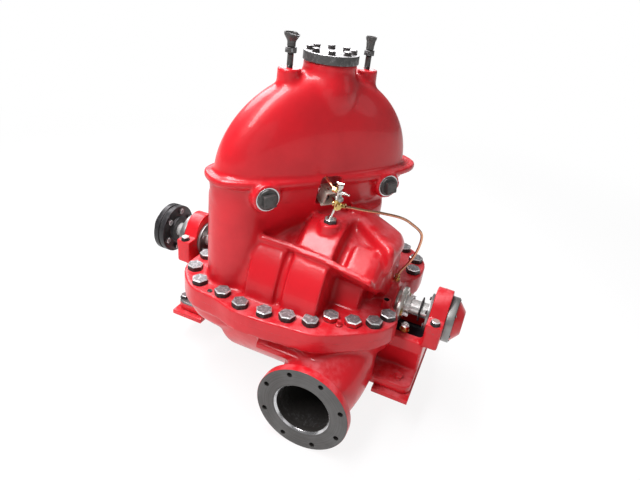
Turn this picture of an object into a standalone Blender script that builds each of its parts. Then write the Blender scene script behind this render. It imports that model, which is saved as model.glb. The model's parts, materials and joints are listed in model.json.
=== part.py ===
"""Two-stage horizontal split case pump with a diagonal crossover arch.

Metres, +Z up, +X along the shaft towards the outboard bearing.  The world origin is the middle of
the underside of the outboard sole plate.  Everything is laid out from an empty, pump_datum, that
stands on the shaft axis over the middle of the casing.
"""
import math

import bmesh
import bpy
from mathutils import Matrix, Vector

# Fits and gaps
SEAT_GAP = 0.0003
RUNNING_GAP = 0.0006
SLEEVE_GAP = 0.001
MERGE = 0.00001

# Shaft line and feet, heights from the shaft axis
SHAFT_RADIUS = 0.030
BEARING_X = 0.537
BEARING_WIDTH = 0.060
FOOT_TOP_DROP = 0.215
FOOT_THICKNESS = 0.038
SOLE_THICKNESS = 0.020
FOOT_X = 0.452
FOOT_LENGTH = 0.130
FOOT_INNER_REACH = 0.045
FOOT_HALF_WIDTH = 0.205
FOOT_CORNER_RADIUS = 0.035
SOLE_LENGTH = 0.140
SOLE_HALF_WIDTH = 0.226

# Split flange
FLANGE_THICKNESS = 0.040
FLANGE_MARGIN = 0.040
SPLIT_ALLOWANCE = 0.012
FLANGE_END_X = 0.368
FLANGE_END_HALF_WIDTH = 0.078
FLANGE_LUG_REACH = 0.032
FLANGE_LUG_WIDTH = 0.058
HALF_BOLT_ROW = [
    (-0.378, -0.184), (-0.367, -0.279), (-0.298, -0.348), (-0.189, -0.366),
    (-0.102, -0.391), (-0.008, -0.389), (0.070, -0.369), (0.150, -0.351),
    (0.201, -0.290), (0.278, -0.276), (0.344, -0.240), (0.376, -0.177),
]

# Upper casing about the shaft: each band and panel stands out from the barrel or lies below it
BARREL_RADIUS = 0.322
BARREL_HALF_LENGTH = 0.160
CROWN_DROP = 0.022
CROWN_ANGLE = 45.0
CROWN_EDGE_X = 0.010
BAND_PROUD = 0.020
BANDS = [(-0.122, -0.006, 44.0), (0.026, 0.158, 73.0)]
RIB_PROUD = 0.036
RIB_WIDTH = 0.178
RIB_THICKNESS = 0.022
RIB_LINE = [(-0.124, 46.3), (0.010, 46.3), (0.140, 44.8), (0.270, 41.5), (0.318, 40.2)]
VALLEY_DROP = 0.036
VALLEY_SPAN = (0.152, 0.320)
PANEL_DROP = 0.020
PANEL_ARC = (38.0, 63.0)
PANEL_LINE = [(0.204, 0.0), (0.282, 0.0), (0.304, 0.009), (0.320, 0.030), (0.330, 0.072)]
LOW_PANEL_RADIUS = 0.212
LOW_PANEL_SPAN = (0.170, 0.268)
LOW_PANEL_ARC = (4.0, 36.0)
RIDGE_PROUD = 0.018
RIDGE_PLAN = [(0.120, -0.013), (0.154, -0.037), (0.345, -0.172), (0.362, -0.120), (0.343, -0.050),
              (0.322, 0.000), (0.318, 0.080), (0.120, 0.100)]
RIDGE_FALL_X = 0.340
RIDGE_FALL_Y = 0.130
RIDGE_ROUND = 0.026
END_BODY_WIDTH = 0.178
END_BODY_HEIGHT = 0.284
END_BODY_X = 0.338
END_BODY_LINE = [(0.198, 1.0, 1.04), (0.090, 0.985, 0.99), (0.050, 0.94, 0.93),
                 (0.024, 0.86, 0.85), (0.006, 0.72, 0.74), (0.000, 0.58, 0.62)]
STUFFING_RADIUS = 0.080
STUFFING_BORE_RADIUS = 0.047
TUBE_PAD_X = 0.352
TUBE_PAD_Y = -0.010
TUBE_PAD_TOP = 0.098
TUBE_PAD_HALF = 0.024

# Lower casing
BELLY_RADIUS = 0.374
BELLY_HALF_LENGTH = 0.200
BELLY_CONE_X = 0.260
BELLY_END_X = 0.310
BELLY_END_RADIUS = 0.240
SKIRT = [(0.020, 0.995), (0.060, 0.985), (0.095, 0.955), (0.130, 0.885), (0.160, 0.780)]
SHELF_SPAN = (-0.030, 0.158)
SHELF_EDGE = [(-0.205, -0.062), (-0.340, -0.070), (-0.392, -0.096), (-0.392, -0.120),
              (-0.340, -0.150), (-0.205, -0.190)]

# Nozzles: the neck's stations run back from the flange face, with the shift and growth there
NOZZLE_X = 0.204
NOZZLE_DROP = 0.232
NOZZLE_FACE_Y = 0.477
NOZZLE_FLANGE_RADIUS = 0.1715
NOZZLE_FLANGE_THICKNESS = 0.030
NOZZLE_NECK_RADIUS = 0.135
NOZZLE_BORE_RADIUS = 0.098
NOZZLE_BORE_DEPTH = 0.190
NECK_LINE = [
    (0.015, 0.000, 0.000, 0.000, 0.000), (0.052, 0.000, 0.001, 0.001, 0.002),
    (0.087, 0.004, 0.010, 0.004, 0.008), (0.127, 0.012, 0.032, 0.012, 0.021),
    (0.177, 0.017, 0.062, 0.018, 0.037), (0.237, 0.017, 0.082, 0.021, 0.045),
    (0.377, 0.000, 0.092, 0.015, 0.035),
]

# Crossover arch: web levels are a drop below the rim, both ends along the arch and the half width
ARCH_ANGLE = 52.0
ARCH_SHIFT_X = -0.025
ARCH_RIM_HEIGHT = 0.468
ARCH_RIM_THICKNESS = 0.026
ARCH_RIM_LENGTH = 0.421
ARCH_RIM_WIDTH = 0.140
WEB_LEVELS = [
    (0.458, -0.300, 0.200, 0.075), (0.218, -0.360, 0.240, 0.080), (0.168, -0.385, 0.290, 0.090),
    (0.128, -0.398, 0.318, 0.106), (0.088, -0.404, 0.345, 0.119), (0.048, -0.406, 0.378, 0.127),
    (0.028, -0.410, 0.402, 0.131),
]
COLUMN_RADIUS = 0.110
COLUMNS = [(-0.293, -0.016, 0.078), (0.190, 0.0, 0.148)]
DOME_LENGTH = 0.378
DOME_THICKNESS = 0.127
DOME_RISE = 0.335
DOME_POWER = 1.9
DOME_ROUNDNESS = 0.60
DOME_LEAN = -0.014
DOME_STEPS = 10
WINDOW_SHIFT = -0.020
WINDOW_WIDTH = 0.090
WINDOW_HEIGHT = 0.110
WINDOW_DROP = 0.050
WINDOW_CORNER = 0.018
PLUG_REACHES = {"left": -0.259, "right": 0.231}
PLUG_DROP = 0.052
PLUG_PAD_RADIUS = 0.050
PLUG_PAD_PROUD = 0.009
PLUG_HEAD_RADIUS = 0.037
PLUG_HEAD_THICKNESS = 0.008
PLUG_SQUARE = 0.034
PLUG_SQUARE_LENGTH = 0.018
PLUG_SQUARE_BEVEL = 0.002

# Arch top, heights from the crest of the dome
NECK_RADIUS = 0.090
NECK_RISE = 0.029
NECK_HEIGHT = 0.050
NECK_FLARE = 0.014
COVER_LIP = 0.004
COVER_THICKNESS = 0.030
VENT_BOSS_REACH = 0.150
VENT_BOSS_RADIUS = 0.0385
VENT_BOSS_RISE = 0.005
VENT_BOSS_LENGTH = 0.160
VENT_PIPE_RADIUS = 0.0105
VENT_PIPE_LENGTH = 0.046
VENT_NUT_RADIUS = 0.020
VENT_NUT_LENGTH = 0.016
VENT_CUP_LENGTH = 0.044
VENT_CUP_RADII = {"left": 0.026, "right": 0.019}
VENT_CUP_STEM = 0.0135
VENT_CUP_BORE = 0.0065
VENT_CUP_WALL = 0.0035

# Bearings and brackets
BRACKET_ROOT_X = 0.300
BRACKET_HALF_WIDTH = 0.124
BRACKET_TOP_DROP = 0.062
BRACKET_WALL = 0.034
BRACKET_FLOOR_DROP = 0.150
HOUSING_RADIUS = 0.106
EAR_HALF_WIDTH = 0.130
EAR_HEIGHT = 0.033
EAR_DEPTH = 0.070
CAP_CREST = 0.112
CAP_CROWN_RADIUS = 0.070
CAP_SHOULDER = 0.082
COVER_DISC_RADIUS = 0.088
COVER_DISC_THICKNESS = 0.028
COVER_DISC_CLEARANCE = 0.008
INBOARD_COVER_THICKNESS = 0.022
END_CAP_RADIUS = 0.078
END_CAP_TIP_RADIUS = 0.046
END_CAP_LENGTH = 0.031
END_CAP_HOLLOW = 0.014
INNER_COVER_RADIUS = 0.074
INNER_COVER_THICKNESS = 0.012

# Rotor
SHAFT_INBOARD_END = -0.746
SHAFT_OUTBOARD_END = 0.604
SLEEVE_RADIUS = 0.0365
SLEEVE_SPAN = (0.326, 0.425)
SLINGER_RADIUS = 0.048
SLINGER_THICKNESS = 0.008
SLINGER_X = 0.462
HUB_SPAN = (-0.744, -0.646)
HUB_RADIUS = 0.105
HUB_NECK_RADIUS = 0.058
HUB_NECK_LENGTH = 0.012
HUB_RIM_LENGTH = 0.062
HUB_GROOVE_START = 0.032
HUB_GROOVE_WIDTH = 0.008
HUB_GROOVE_DEPTH = 0.005

# Gland
GLAND_X = 0.384
GLAND_THICKNESS = 0.016
GLAND_RADIUS = 0.060
GLAND_EAR_REACH = 0.082
GLAND_EAR_RADIUS = 0.018
GLAND_NOSE_DEPTH = 0.020
GLAND_NOSE_GAP = 0.0005

# Valve group and bypass tubes: the tube's bow is given as shares of its way in plan and of its drop
VALVE_BOSS_X = 0.103
VALVE_BOSS_Y = -0.150
VALVE_BOSS_PROUD = 0.021
VALVE_BOSS_RADIUS = 0.037
BUSHING_RADIUS = 0.024
BUSHING_HEIGHT = 0.014
RISER_RADIUS = 0.007
RISER_HEIGHT = 0.042
MANIFOLD_RADIUS = 0.013
MANIFOLD_HEIGHT = 0.075
MANIFOLD_ARM_RADIUS = 0.010
MANIFOLD_ARM_HEIGHT = 0.028
MANIFOLD_ARM_OUT = 0.038
MANIFOLD_ARM_IN = 0.030
FITTING_RADIUS = 0.011
FITTING_HEIGHT = 0.026
TUBE_RADIUS = 0.005
TUBE_STUB = 0.014
TUBE_RISE_IN_WINDOW = 0.007
TUBE_BOW = [(0.29, 0.925), (0.57, 0.887), (0.856, 0.83), (1.035, 0.744), (1.22, 0.60),
            (1.23, 0.414), (1.157, 0.219)]

RED = (0.60, 0.018, 0.030)
GREY_STEEL = (0.30, 0.30, 0.31)
DARK_IRON = (0.09, 0.088, 0.085)
BRASS = (0.62, 0.44, 0.16)
COPPER = (0.60, 0.28, 0.16)
BLACK = (0.02, 0.02, 0.022)

# A finish is a colour, a metallic value and a roughness
RED_PAINT = (RED, 0.0, 0.30)
GREY = (GREY_STEEL, 0.9, 0.45)
DARK = (DARK_IRON, 0.7, 0.55)
STEEL = ((0.42, 0.42, 0.43), 1.0, 0.30)
POLISHED_BRASS = (BRASS, 0.9, 0.35)
DRAWN_COPPER = (COPPER, 0.9, 0.35)
BLACK_RUBBER = (BLACK, 0.0, 0.6)
BLACK_IRON = (BLACK, 0.2, 0.45)

ENDS = ((1, "outboard"), (-1, "inboard"))
SIDES = ((-1, "left"), (1, "right"))
FACES = ((1, "front"), (-1, "rear"))

for old_object in list(bpy.data.objects):
    bpy.data.objects.remove(old_object, do_unlink=True)

PARTS = bpy.data.collections.new("split_case_pump")
CUTTERS = bpy.data.collections.new("cutters_and_forms")
bpy.context.scene.collection.children.link(PARTS)
bpy.context.scene.collection.children.link(CUTTERS)


def add_empty(name, parent=None, location=(0.0, 0.0, 0.0)):
    """An empty that other objects are parented to."""
    empty = bpy.data.objects.new(name, None)
    PARTS.objects.link(empty)
    empty.parent = parent
    empty.location = location
    return empty


SHAFT_HEIGHT = FOOT_TOP_DROP + FOOT_THICKNESS + SEAT_GAP + SOLE_THICKNESS
DATUM = add_empty("pump_datum", location=(-FOOT_X, 0.0, SHAFT_HEIGHT))
ROTOR = add_empty("rotor_axis", parent=DATUM)


def make_material(name, colour, metallic, roughness):
    """A Principled material with one colour."""
    material = bpy.data.materials.new(name)
    material.use_nodes = True
    shader = material.node_tree.nodes["Principled BSDF"]
    shader.inputs["Base Color"].default_value = (*colour, 1.0)
    shader.inputs["Metallic"].default_value = metallic
    shader.inputs["Roughness"].default_value = roughness
    return material


def place(name, mesh, matrix=None, finish=None, parent=None):
    """Put a mesh in the parts collection, or among the forms when it has no finish."""
    thing = bpy.data.objects.new(name, mesh)
    thing.parent = parent or DATUM
    thing.matrix_basis = matrix or Matrix.Identity(4)
    if finish:
        PARTS.objects.link(thing)
        mesh.materials.append(make_material(name, *finish))
    else:
        CUTTERS.objects.link(thing)
        thing.hide_render = True
        thing.display_type = "WIRE"
    return thing


def finish_mesh(name, shape):
    """Turn a bmesh into a mesh with outward faces."""
    bmesh.ops.recalc_face_normals(shape, faces=shape.faces)
    mesh = bpy.data.meshes.new(name)
    shape.to_mesh(mesh)
    shape.free()
    mesh.shade_smooth()
    mesh.set_sharp_from_angle(angle=math.radians(35))
    return mesh


def axis_matrix(direction, at=(0.0, 0.0, 0.0)):
    """A matrix that turns local +Z to a direction and moves it to a point."""
    turn = Vector((0.0, 0.0, 1.0)).rotation_difference(Vector(direction)).to_matrix().to_4x4()
    return Matrix.Translation(at) @ turn


def box(name, low, high, bevel=0.0, segments=2, **options):
    """A cuboid between two corners, with bevelled edges if asked."""
    shape = bmesh.new()
    bmesh.ops.create_cube(shape, size=1.0)
    size = [b - a for a, b in zip(low, high)]
    middle = [(a + b) / 2 for a, b in zip(low, high)]
    bmesh.ops.scale(shape, vec=size, verts=shape.verts)
    bmesh.ops.translate(shape, vec=middle, verts=shape.verts)
    if bevel:
        bmesh.ops.bevel(shape, geom=list(shape.edges), offset=bevel, segments=segments,
                        profile=0.5, affect="EDGES", clamp_overlap=True)
    return place(name, finish_mesh(name, shape), **options)


def rod(name, radius, start, end, sides=32, tip_radius=None, **options):
    """A cylinder or cone between two points."""
    start, end = Vector(start), Vector(end)
    shape = bmesh.new()
    bmesh.ops.create_cone(shape, cap_ends=True, segments=sides, radius1=radius,
                          radius2=radius if tip_radius is None else tip_radius,
                          depth=(end - start).length)
    matrix = axis_matrix((end - start).normalized(), (start + end) / 2)
    return place(name, finish_mesh(name, shape), matrix, **options)


def turned(name, profile, direction=(0.0, 0.0, 1.0), at=(0.0, 0.0, 0.0), steps=28, **options):
    """A profile of (radius, height) points, outer side from top to bottom, turned about an axis."""
    mesh = bpy.data.meshes.new(name)
    count = len(profile)
    links = [(i, i + 1) for i in range(count - 1)]
    if profile[0][0] > 0.0:
        links.append((count - 1, 0))
    mesh.from_pydata([(radius, 0.0, height) for radius, height in profile], links, [])
    thing = place(name, mesh, axis_matrix(direction, at), **options)
    screw = thing.modifiers.new("turn", "SCREW")
    screw.steps = steps
    screw.render_steps = steps
    screw.use_merge_vertices = True
    screw.merge_threshold = MERGE
    screw.use_smooth_shade = True
    return thing


def mesh_of(drawn):
    """The closed bmesh of a curve object, which is then removed."""
    graph = bpy.context.evaluated_depsgraph_get()
    mesh = bpy.data.meshes.new_from_object(drawn.evaluated_get(graph))
    shape = bmesh.new()
    shape.from_mesh(mesh)
    bmesh.ops.remove_doubles(shape, verts=shape.verts, dist=MERGE)
    bpy.data.objects.remove(drawn, do_unlink=True)
    bpy.data.meshes.remove(mesh)
    return shape


# Local X, Y and Z of an outline that faces along the shaft
FACE_ALONG_SHAFT = Matrix(((0, 0, 1, 0), (1, 0, 0, 0), (0, 1, 0, 0), (0, 0, 0, 1)))


def prism(name, points, low, high, along_shaft=False, **options):
    """A flat outline given thickness from low to high, upwards or along the shaft."""
    curve = bpy.data.curves.new(name, "CURVE")
    curve.dimensions = "2D"
    curve.fill_mode = "BOTH"
    curve.extrude = (high - low) / 2
    spline = curve.splines.new("POLY")
    spline.points.add(len(points) - 1)
    for point, (u, v) in zip(spline.points, points):
        point.co = (u, v, 0.0, 1.0)
    spline.use_cyclic_u = True
    drawn = bpy.data.objects.new(name + "_outline", curve)
    bpy.context.scene.collection.objects.link(drawn)
    shape = mesh_of(drawn)
    stand = FACE_ALONG_SHAFT if along_shaft else Matrix.Identity(4)
    bmesh.ops.transform(shape, matrix=stand @ Matrix.Translation((0.0, 0.0, (low + high) / 2)),
                        verts=shape.verts)
    return place(name, finish_mesh(name, shape), **options)


def loft(name, sections, **options):
    """Skin a row of closed sections that have as many points each, with flat ends."""
    shape = bmesh.new()
    rings = [[shape.verts.new(point) for point in section] for section in sections]
    for first, second in zip(rings, rings[1:]):
        for i in range(len(first)):
            j = (i + 1) % len(first)
            shape.faces.new((first[i], first[j], second[j], second[i]))
    shape.faces.new(rings[0])
    shape.faces.new(rings[-1])
    return place(name, finish_mesh(name, shape), **options)


def curve_point(a, b, c, d, t):
    """A point of a Catmull-Rom curve between b and c."""
    return 0.5 * (2 * b + (c - a) * t + (2 * a - 5 * b + 4 * c - d) * t * t
                  + (3 * b - a - 3 * c + d) * t ** 3)


def smooth_route(points, per_span=3):
    """Points on a smooth curve through a route."""
    route = [Vector(point) for point in points]
    ends = [route[0] * 2 - route[1]] + route + [route[-1] * 2 - route[-2]]
    result = []
    for span in zip(ends, ends[1:], ends[2:], ends[3:]):
        result += [curve_point(*span, step / per_span) for step in range(per_span)]
    return result + [route[-1]]


def closed_smooth_route(points, per_span=2):
    """Points on a smooth closed curve."""
    count = len(points)
    result = []
    for i in range(count):
        span = [Vector(points[(i + k) % count]) for k in (-1, 0, 1, 2)]
        result += [curve_point(*span, step / per_span) for step in range(per_span)]
    return result


def bent_tube(name, points, radius, **options):
    """A tube along a smooth route whose first and last stretches are straight."""
    curve = bpy.data.curves.new(name, "CURVE")
    curve.dimensions = "3D"
    curve.bevel_depth = radius
    curve.bevel_resolution = 2
    curve.use_fill_caps = True
    route = [Vector(points[0])] + smooth_route(points[1:-1]) + [Vector(points[-1])]
    spline = curve.splines.new("POLY")
    spline.points.add(len(route) - 1)
    for point, co in zip(spline.points, route):
        point.co = (*co, 1.0)
    drawn = bpy.data.objects.new(name + "_route", curve)
    bpy.context.scene.collection.objects.link(drawn)
    return place(name, finish_mesh(name, mesh_of(drawn)), **options)


def boolean(target, tool, operation):
    """A live Boolean on the target."""
    modifier = target.modifiers.new(operation.lower() + "_" + tool.name, "BOOLEAN")
    modifier.operation = operation
    modifier.object = tool
    modifier.solver = "EXACT"


def join(target, *tools):
    """Add the tools' shapes to the target."""
    for tool in tools:
        boolean(target, tool, "UNION")


def cut(target, *tools):
    """Take the tools' shapes out of the target."""
    for tool in tools:
        boolean(target, tool, "DIFFERENCE")


def weld(target):
    """Close the hair cracks that a long row of Booleans leaves."""
    modifier = target.modifiers.new("weld", "WELD")
    modifier.merge_threshold = MERGE


def oval(half_length, half_width, exponent, count=32):
    """Points on a superellipse, running anticlockwise."""
    points = []
    for i in range(count):
        angle = 2 * math.pi * i / count
        c, s = math.cos(angle), math.sin(angle)
        points.append((half_length * math.copysign(abs(c) ** (2 / exponent), c),
                       half_width * math.copysign(abs(s) ** (2 / exponent), s)))
    return points


def rotated_180(thing, name):
    """The same form turned half a turn about the pump's upright centre line."""
    return place(name, thing.data, Matrix.Rotation(math.pi, 4, "Z") @ thing.matrix_basis)


def both_ways(thing):
    """A form and its copy after half a turn, because the pump is the same from both sides."""
    return thing, rotated_180(thing, "turned_" + thing.name)


def flange_outline():
    """The wavy edge of the split flange in plan: the bolt row carried outwards."""
    row = HALF_BOLT_ROW
    half = []
    for i, (x, y) in enumerate(row):
        before = Vector(row[max(i - 1, 0)])
        after = Vector(row[min(i + 1, len(row) - 1)])
        along = (after - before).normalized()
        outward = Vector((along.y, -along.x))
        if i in (0, len(row) - 1):
            outward = (outward + Vector((math.copysign(1.0, x), -0.25))).normalized()
        half.append(Vector((x, y)) + outward * FLANGE_MARGIN)
    lug_x, lug_y = FLANGE_END_X + FLANGE_LUG_REACH, FLANGE_END_HALF_WIDTH + FLANGE_LUG_WIDTH
    lug = [Vector((lug_x, -lug_y)), Vector((FLANGE_END_X, -FLANGE_END_HALF_WIDTH)),
           Vector((FLANGE_END_X, FLANGE_END_HALF_WIDTH)), Vector((lug_x, lug_y))]
    corners = half + lug + [-point for point in half] + [-point for point in lug]
    return [tuple(point) for point in closed_smooth_route(corners)]


def end_body():
    """The blunt rounded end of the casing round the outboard stuffing box, about the shaft."""
    end = END_BODY_X
    sections = []
    for back, width_share, height_share in END_BODY_LINE:
        ring = oval(END_BODY_WIDTH * width_share, END_BODY_HEIGHT * height_share, 2.3)
        sections.append([(END_BODY_X - back, y, z) for y, z in ring])
    return loft("end_body_form", sections)


def sector(name, line, low, high, inner, step=7.6):
    """A slice of a turned body on the front side, through (station, radius) pairs on the shaft."""
    count = max(2, math.ceil((high - low) / step))
    arc = [math.radians(low + (high - low) * i / count) for i in range(count + 1)]
    sections = []
    for x, radius in line:
        outer = [(x, -radius * math.cos(a), radius * math.sin(a)) for a in arc]
        root = [(x, -inner * math.cos(a), inner * math.sin(a)) for a in (arc[-1], arc[0])]
        sections.append(outer + root)
    return loft(name, sections)


def barrel_side():
    """The front half of the volute barrel: full on the outboard side, lower over the crown inboard."""
    low, step, count = 2.0, 7.6, 12
    arc = [low + step * i for i in range(count + 1)]
    arc.insert(next(i for i, a in enumerate(arc) if a > CROWN_ANGLE), CROWN_ANGLE)
    crown = BARREL_RADIUS - CROWN_DROP
    root = crown / 2
    sections = []
    for x, lowered in ((-BARREL_HALF_LENGTH, True), (CROWN_EDGE_X, True),
                       (CROWN_EDGE_X + CROWN_DROP, False), (BARREL_HALF_LENGTH, False)):
        points = []
        for a in arc:
            radius = crown if lowered and a > CROWN_ANGLE else BARREL_RADIUS
            points.append((x, -radius * math.cos(math.radians(a)), radius * math.sin(math.radians(a))))
        sections.append(points + [(x, 0.0, root), (x, -root, 0.0)])
    return loft("barrel_form", sections)


def ridge_top(x, y):
    """The height of the sloping shoulder at a point in plan."""
    peak_x, peak_y = RIDGE_PLAN[1]
    return (BARREL_RADIUS + RIDGE_PROUD - RIDGE_FALL_X * (x - peak_x) - RIDGE_FALL_Y * (y - peak_y))


def shoulder():
    """The shoulder behind the slanting wall, which falls towards the outboard end."""
    shape = bmesh.new()
    base = shape.faces.new([shape.verts.new((x, y, 0.0)) for x, y in RIDGE_PLAN])
    grown = bmesh.ops.extrude_face_region(shape, geom=[base], use_keep_orig=True)
    top = [item for item in grown["geom"] if isinstance(item, bmesh.types.BMVert)]
    for vert in top:
        vert.co.z = ridge_top(vert.co.x, vert.co.y)
    raised = set(top)
    rim = [edge for edge in shape.edges if raised.intersection(edge.verts)]
    bmesh.ops.bevel(shape, geom=rim, offset=RIDGE_ROUND, segments=2, profile=0.5, affect="EDGES",
                    clamp_overlap=True)
    bmesh.ops.remove_doubles(shape, verts=shape.verts, dist=MERGE)
    return place("shoulder_form", finish_mesh("shoulder_form", shape))


def straight_rib():
    """The web along the front of the upper casing, which dips towards the outboard end."""
    tip = BARREL_RADIUS + RIB_PROUD
    sections = []
    for x, elevation in RIB_LINE:
        angle = math.radians(elevation)
        out = Vector((0.0, -math.cos(angle), math.sin(angle)))
        under = Vector((0.0, -math.sin(angle), -math.cos(angle))) * RIB_THICKNESS
        root = Vector((x, 0.0, 0.0)) + out * (tip - RIB_WIDTH)
        edge = Vector((x, 0.0, 0.0)) + out * tip
        sections.append([root, edge, edge + under, root + under])
    return loft("rib_form", sections)


def arch_point(along, across, height):
    """A point given along and across the crossover arch, in plan turned by its angle."""
    angle = math.radians(ARCH_ANGLE)
    x = ARCH_SHIFT_X + along * math.cos(angle) + across * math.sin(angle)
    y = along * math.sin(angle) - across * math.cos(angle)
    return (x, y, height)


def arch_section(low, high, half_width, height, exponent=2.6):
    """One level section of the arch from one end to the other."""
    middle, half = (low + high) / 2, (high - low) / 2
    return [arch_point(middle + u, -v, height) for u, v in oval(half, half_width, exponent)]


def crossover_arch():
    """The arch: web, rim lip and dome as one skin."""
    rim, lip = ARCH_RIM_HEIGHT, ARCH_RIM_THICKNESS
    levels = [arch_section(low, high, wide, rim - drop, 2.4) for drop, low, high, wide in WEB_LEVELS]
    for height, inset in ((rim - lip, 0.006), (rim - 0.75 * lip, 0.0), (rim - 0.25 * lip, 0.0),
                          (rim, 0.005)):
        levels.append(arch_section(inset - ARCH_RIM_LENGTH, ARCH_RIM_LENGTH - inset,
                                   ARCH_RIM_WIDTH - inset, height))
    for step in range(DOME_STEPS):
        share = math.sin(math.radians(90.0 * step / DOME_STEPS))
        spread = (1.0 - share ** DOME_POWER) ** (1.0 / DOME_POWER)
        reach, lean = DOME_LENGTH * spread, DOME_LEAN * (1.0 - share)
        levels.append(arch_section(lean - reach, lean + reach, DOME_THICKNESS * spread ** DOME_ROUNDNESS,
                                   rim + SEAT_GAP + (DOME_RISE - SEAT_GAP) * share))
    return loft("arch_form", levels)


CREST = ARCH_RIM_HEIGHT + DOME_RISE
NECK_TOP = CREST + NECK_RISE
VENT_BOSS_TOP = CREST + VENT_BOSS_RISE
PLUG_HEIGHT = ARCH_RIM_HEIGHT - PLUG_DROP
PLUG_PAD_FACE = max(wide for _, _, _, wide in WEB_LEVELS) + PLUG_PAD_PROUD
WINDOW_CENTRE = ARCH_RIM_HEIGHT - WINDOW_DROP
BAND_RADIUS = BARREL_RADIUS + BAND_PROUD
VALVE_BOSS_TOP = math.sqrt(BAND_RADIUS ** 2 - VALVE_BOSS_Y ** 2) + VALVE_BOSS_PROUD
EXTENT = 2 * max(CREST, NOZZLE_FACE_Y, BEARING_X)

# Upper casing

flange_points = flange_outline()
upper_casing = prism("upper_casing", flange_points, -SPLIT_ALLOWANCE, FLANGE_THICKNESS,
                     finish=RED_PAINT)

end_bodies = both_ways(end_body())
join(upper_casing, *both_ways(barrel_side()), *end_bodies)

valley_radius = BARREL_RADIUS - VALLEY_DROP
panel_radius = BARREL_RADIUS - PANEL_DROP
valley = sector("valley_form", [(x, valley_radius) for x in VALLEY_SPAN], 42.0, 92.4, valley_radius / 2)
panel = sector("panel_form", [(x, panel_radius - drop) for x, drop in PANEL_LINE], *PANEL_ARC,
               valley_radius / 2 + 0.01)
low_panel = sector("low_panel_form", [(x, LOW_PANEL_RADIUS) for x in LOW_PANEL_SPAN],
                   *LOW_PANEL_ARC, LOW_PANEL_RADIUS / 2)
join(upper_casing, *both_ways(valley), *both_ways(panel), *both_ways(low_panel))
join(upper_casing, *both_ways(shoulder()))

for number, (low, high, top) in enumerate(BANDS):
    band = sector(f"band_form_{number}", [(low, BAND_RADIUS), (high, BAND_RADIUS)], 3.1, top,
                  BAND_RADIUS - 2 * BAND_PROUD - CROWN_DROP)
    join(upper_casing, *both_ways(band))
join(upper_casing, *both_ways(straight_rib()))

for number, (along, across, drop) in enumerate(COLUMNS):
    column = rod(f"column_form_{number}", COLUMN_RADIUS, arch_point(along, across, 0.0),
                 arch_point(along, across, ARCH_RIM_HEIGHT - drop), sides=28)
    join(upper_casing, column)
join(upper_casing, crossover_arch())

neck_low = NECK_TOP - NECK_HEIGHT
neck = turned("neck_form", [(0.0, NECK_TOP), (NECK_RADIUS, NECK_TOP), (NECK_RADIUS, neck_low),
                            (NECK_RADIUS + NECK_FLARE, neck_low - 2 * NECK_FLARE),
                            (NECK_RADIUS, neck_low - 4 * NECK_FLARE), (0.0, neck_low - 4 * NECK_FLARE)],
              at=arch_point(0.0, 0.0, 0.0))
join(upper_casing, neck)
for side, label in SIDES:
    reach = side * VENT_BOSS_REACH
    join(upper_casing, rod(f"vent_boss_form_{label}", VENT_BOSS_RADIUS,
                           arch_point(reach, 0.0, VENT_BOSS_TOP - VENT_BOSS_LENGTH),
                           arch_point(reach, 0.0, VENT_BOSS_TOP), sides=24))


def plug_spots():
    """(name, along, face) of each plug; the rear ones lie half a turn from the front ones."""
    return [(f"plug_{face_label}_{label}", face * PLUG_REACHES[label if face > 0 else other], face)
            for face, face_label in FACES for label, other in (("left", "right"), ("right", "left"))]


for name, along, face in plug_spots():
    join(upper_casing, rod("pad_under_" + name, PLUG_PAD_RADIUS,
                           arch_point(along, face * PLUG_PAD_RADIUS, PLUG_HEIGHT),
                           arch_point(along, face * PLUG_PAD_FACE, PLUG_HEIGHT), sides=24))

valve_boss = rod("valve_boss_form", VALVE_BOSS_RADIUS, (VALVE_BOSS_X, VALVE_BOSS_Y, BAND_RADIUS / 2),
                 (VALVE_BOSS_X, VALVE_BOSS_Y, VALVE_BOSS_TOP), sides=24)
stuffing_boxes = both_ways(rod("stuffing_box_form", STUFFING_RADIUS, (BRACKET_ROOT_X, 0.0, 0.0),
                               (FLANGE_END_X + 0.003, 0.0, 0.0)))
tube_pad = box("tube_pad_form",
               (TUBE_PAD_X - TUBE_PAD_HALF - 0.004, TUBE_PAD_Y - TUBE_PAD_HALF, FLANGE_THICKNESS / 2),
               (TUBE_PAD_X + FLANGE_THICKNESS / 3, TUBE_PAD_Y + TUBE_PAD_HALF, TUBE_PAD_TOP),
               bevel=0.006, segments=1)
join(upper_casing, valve_boss, *stuffing_boxes, *both_ways(tube_pad))

window = box("window_cutter", (-WINDOW_WIDTH / 2, -EXTENT / 2, -WINDOW_HEIGHT / 2),
             (WINDOW_WIDTH / 2, EXTENT / 2, WINDOW_HEIGHT / 2), bevel=WINDOW_CORNER, segments=2,
             matrix=Matrix.Translation(arch_point(WINDOW_SHIFT, 0.0, WINDOW_CENTRE))
             @ Matrix.Rotation(math.radians(ARCH_ANGLE), 4, "Z"))
shaft_channel = rod("shaft_channel", STUFFING_BORE_RADIUS, (-EXTENT, 0.0, 0.0), (EXTENT, 0.0, 0.0),
                    sides=40)
below_split = box("below_split", (-EXTENT, -EXTENT, -EXTENT), (EXTENT, EXTENT, SEAT_GAP / 2))
cut(upper_casing, window, shaft_channel, below_split)
weld(upper_casing)

# Lower casing

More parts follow.
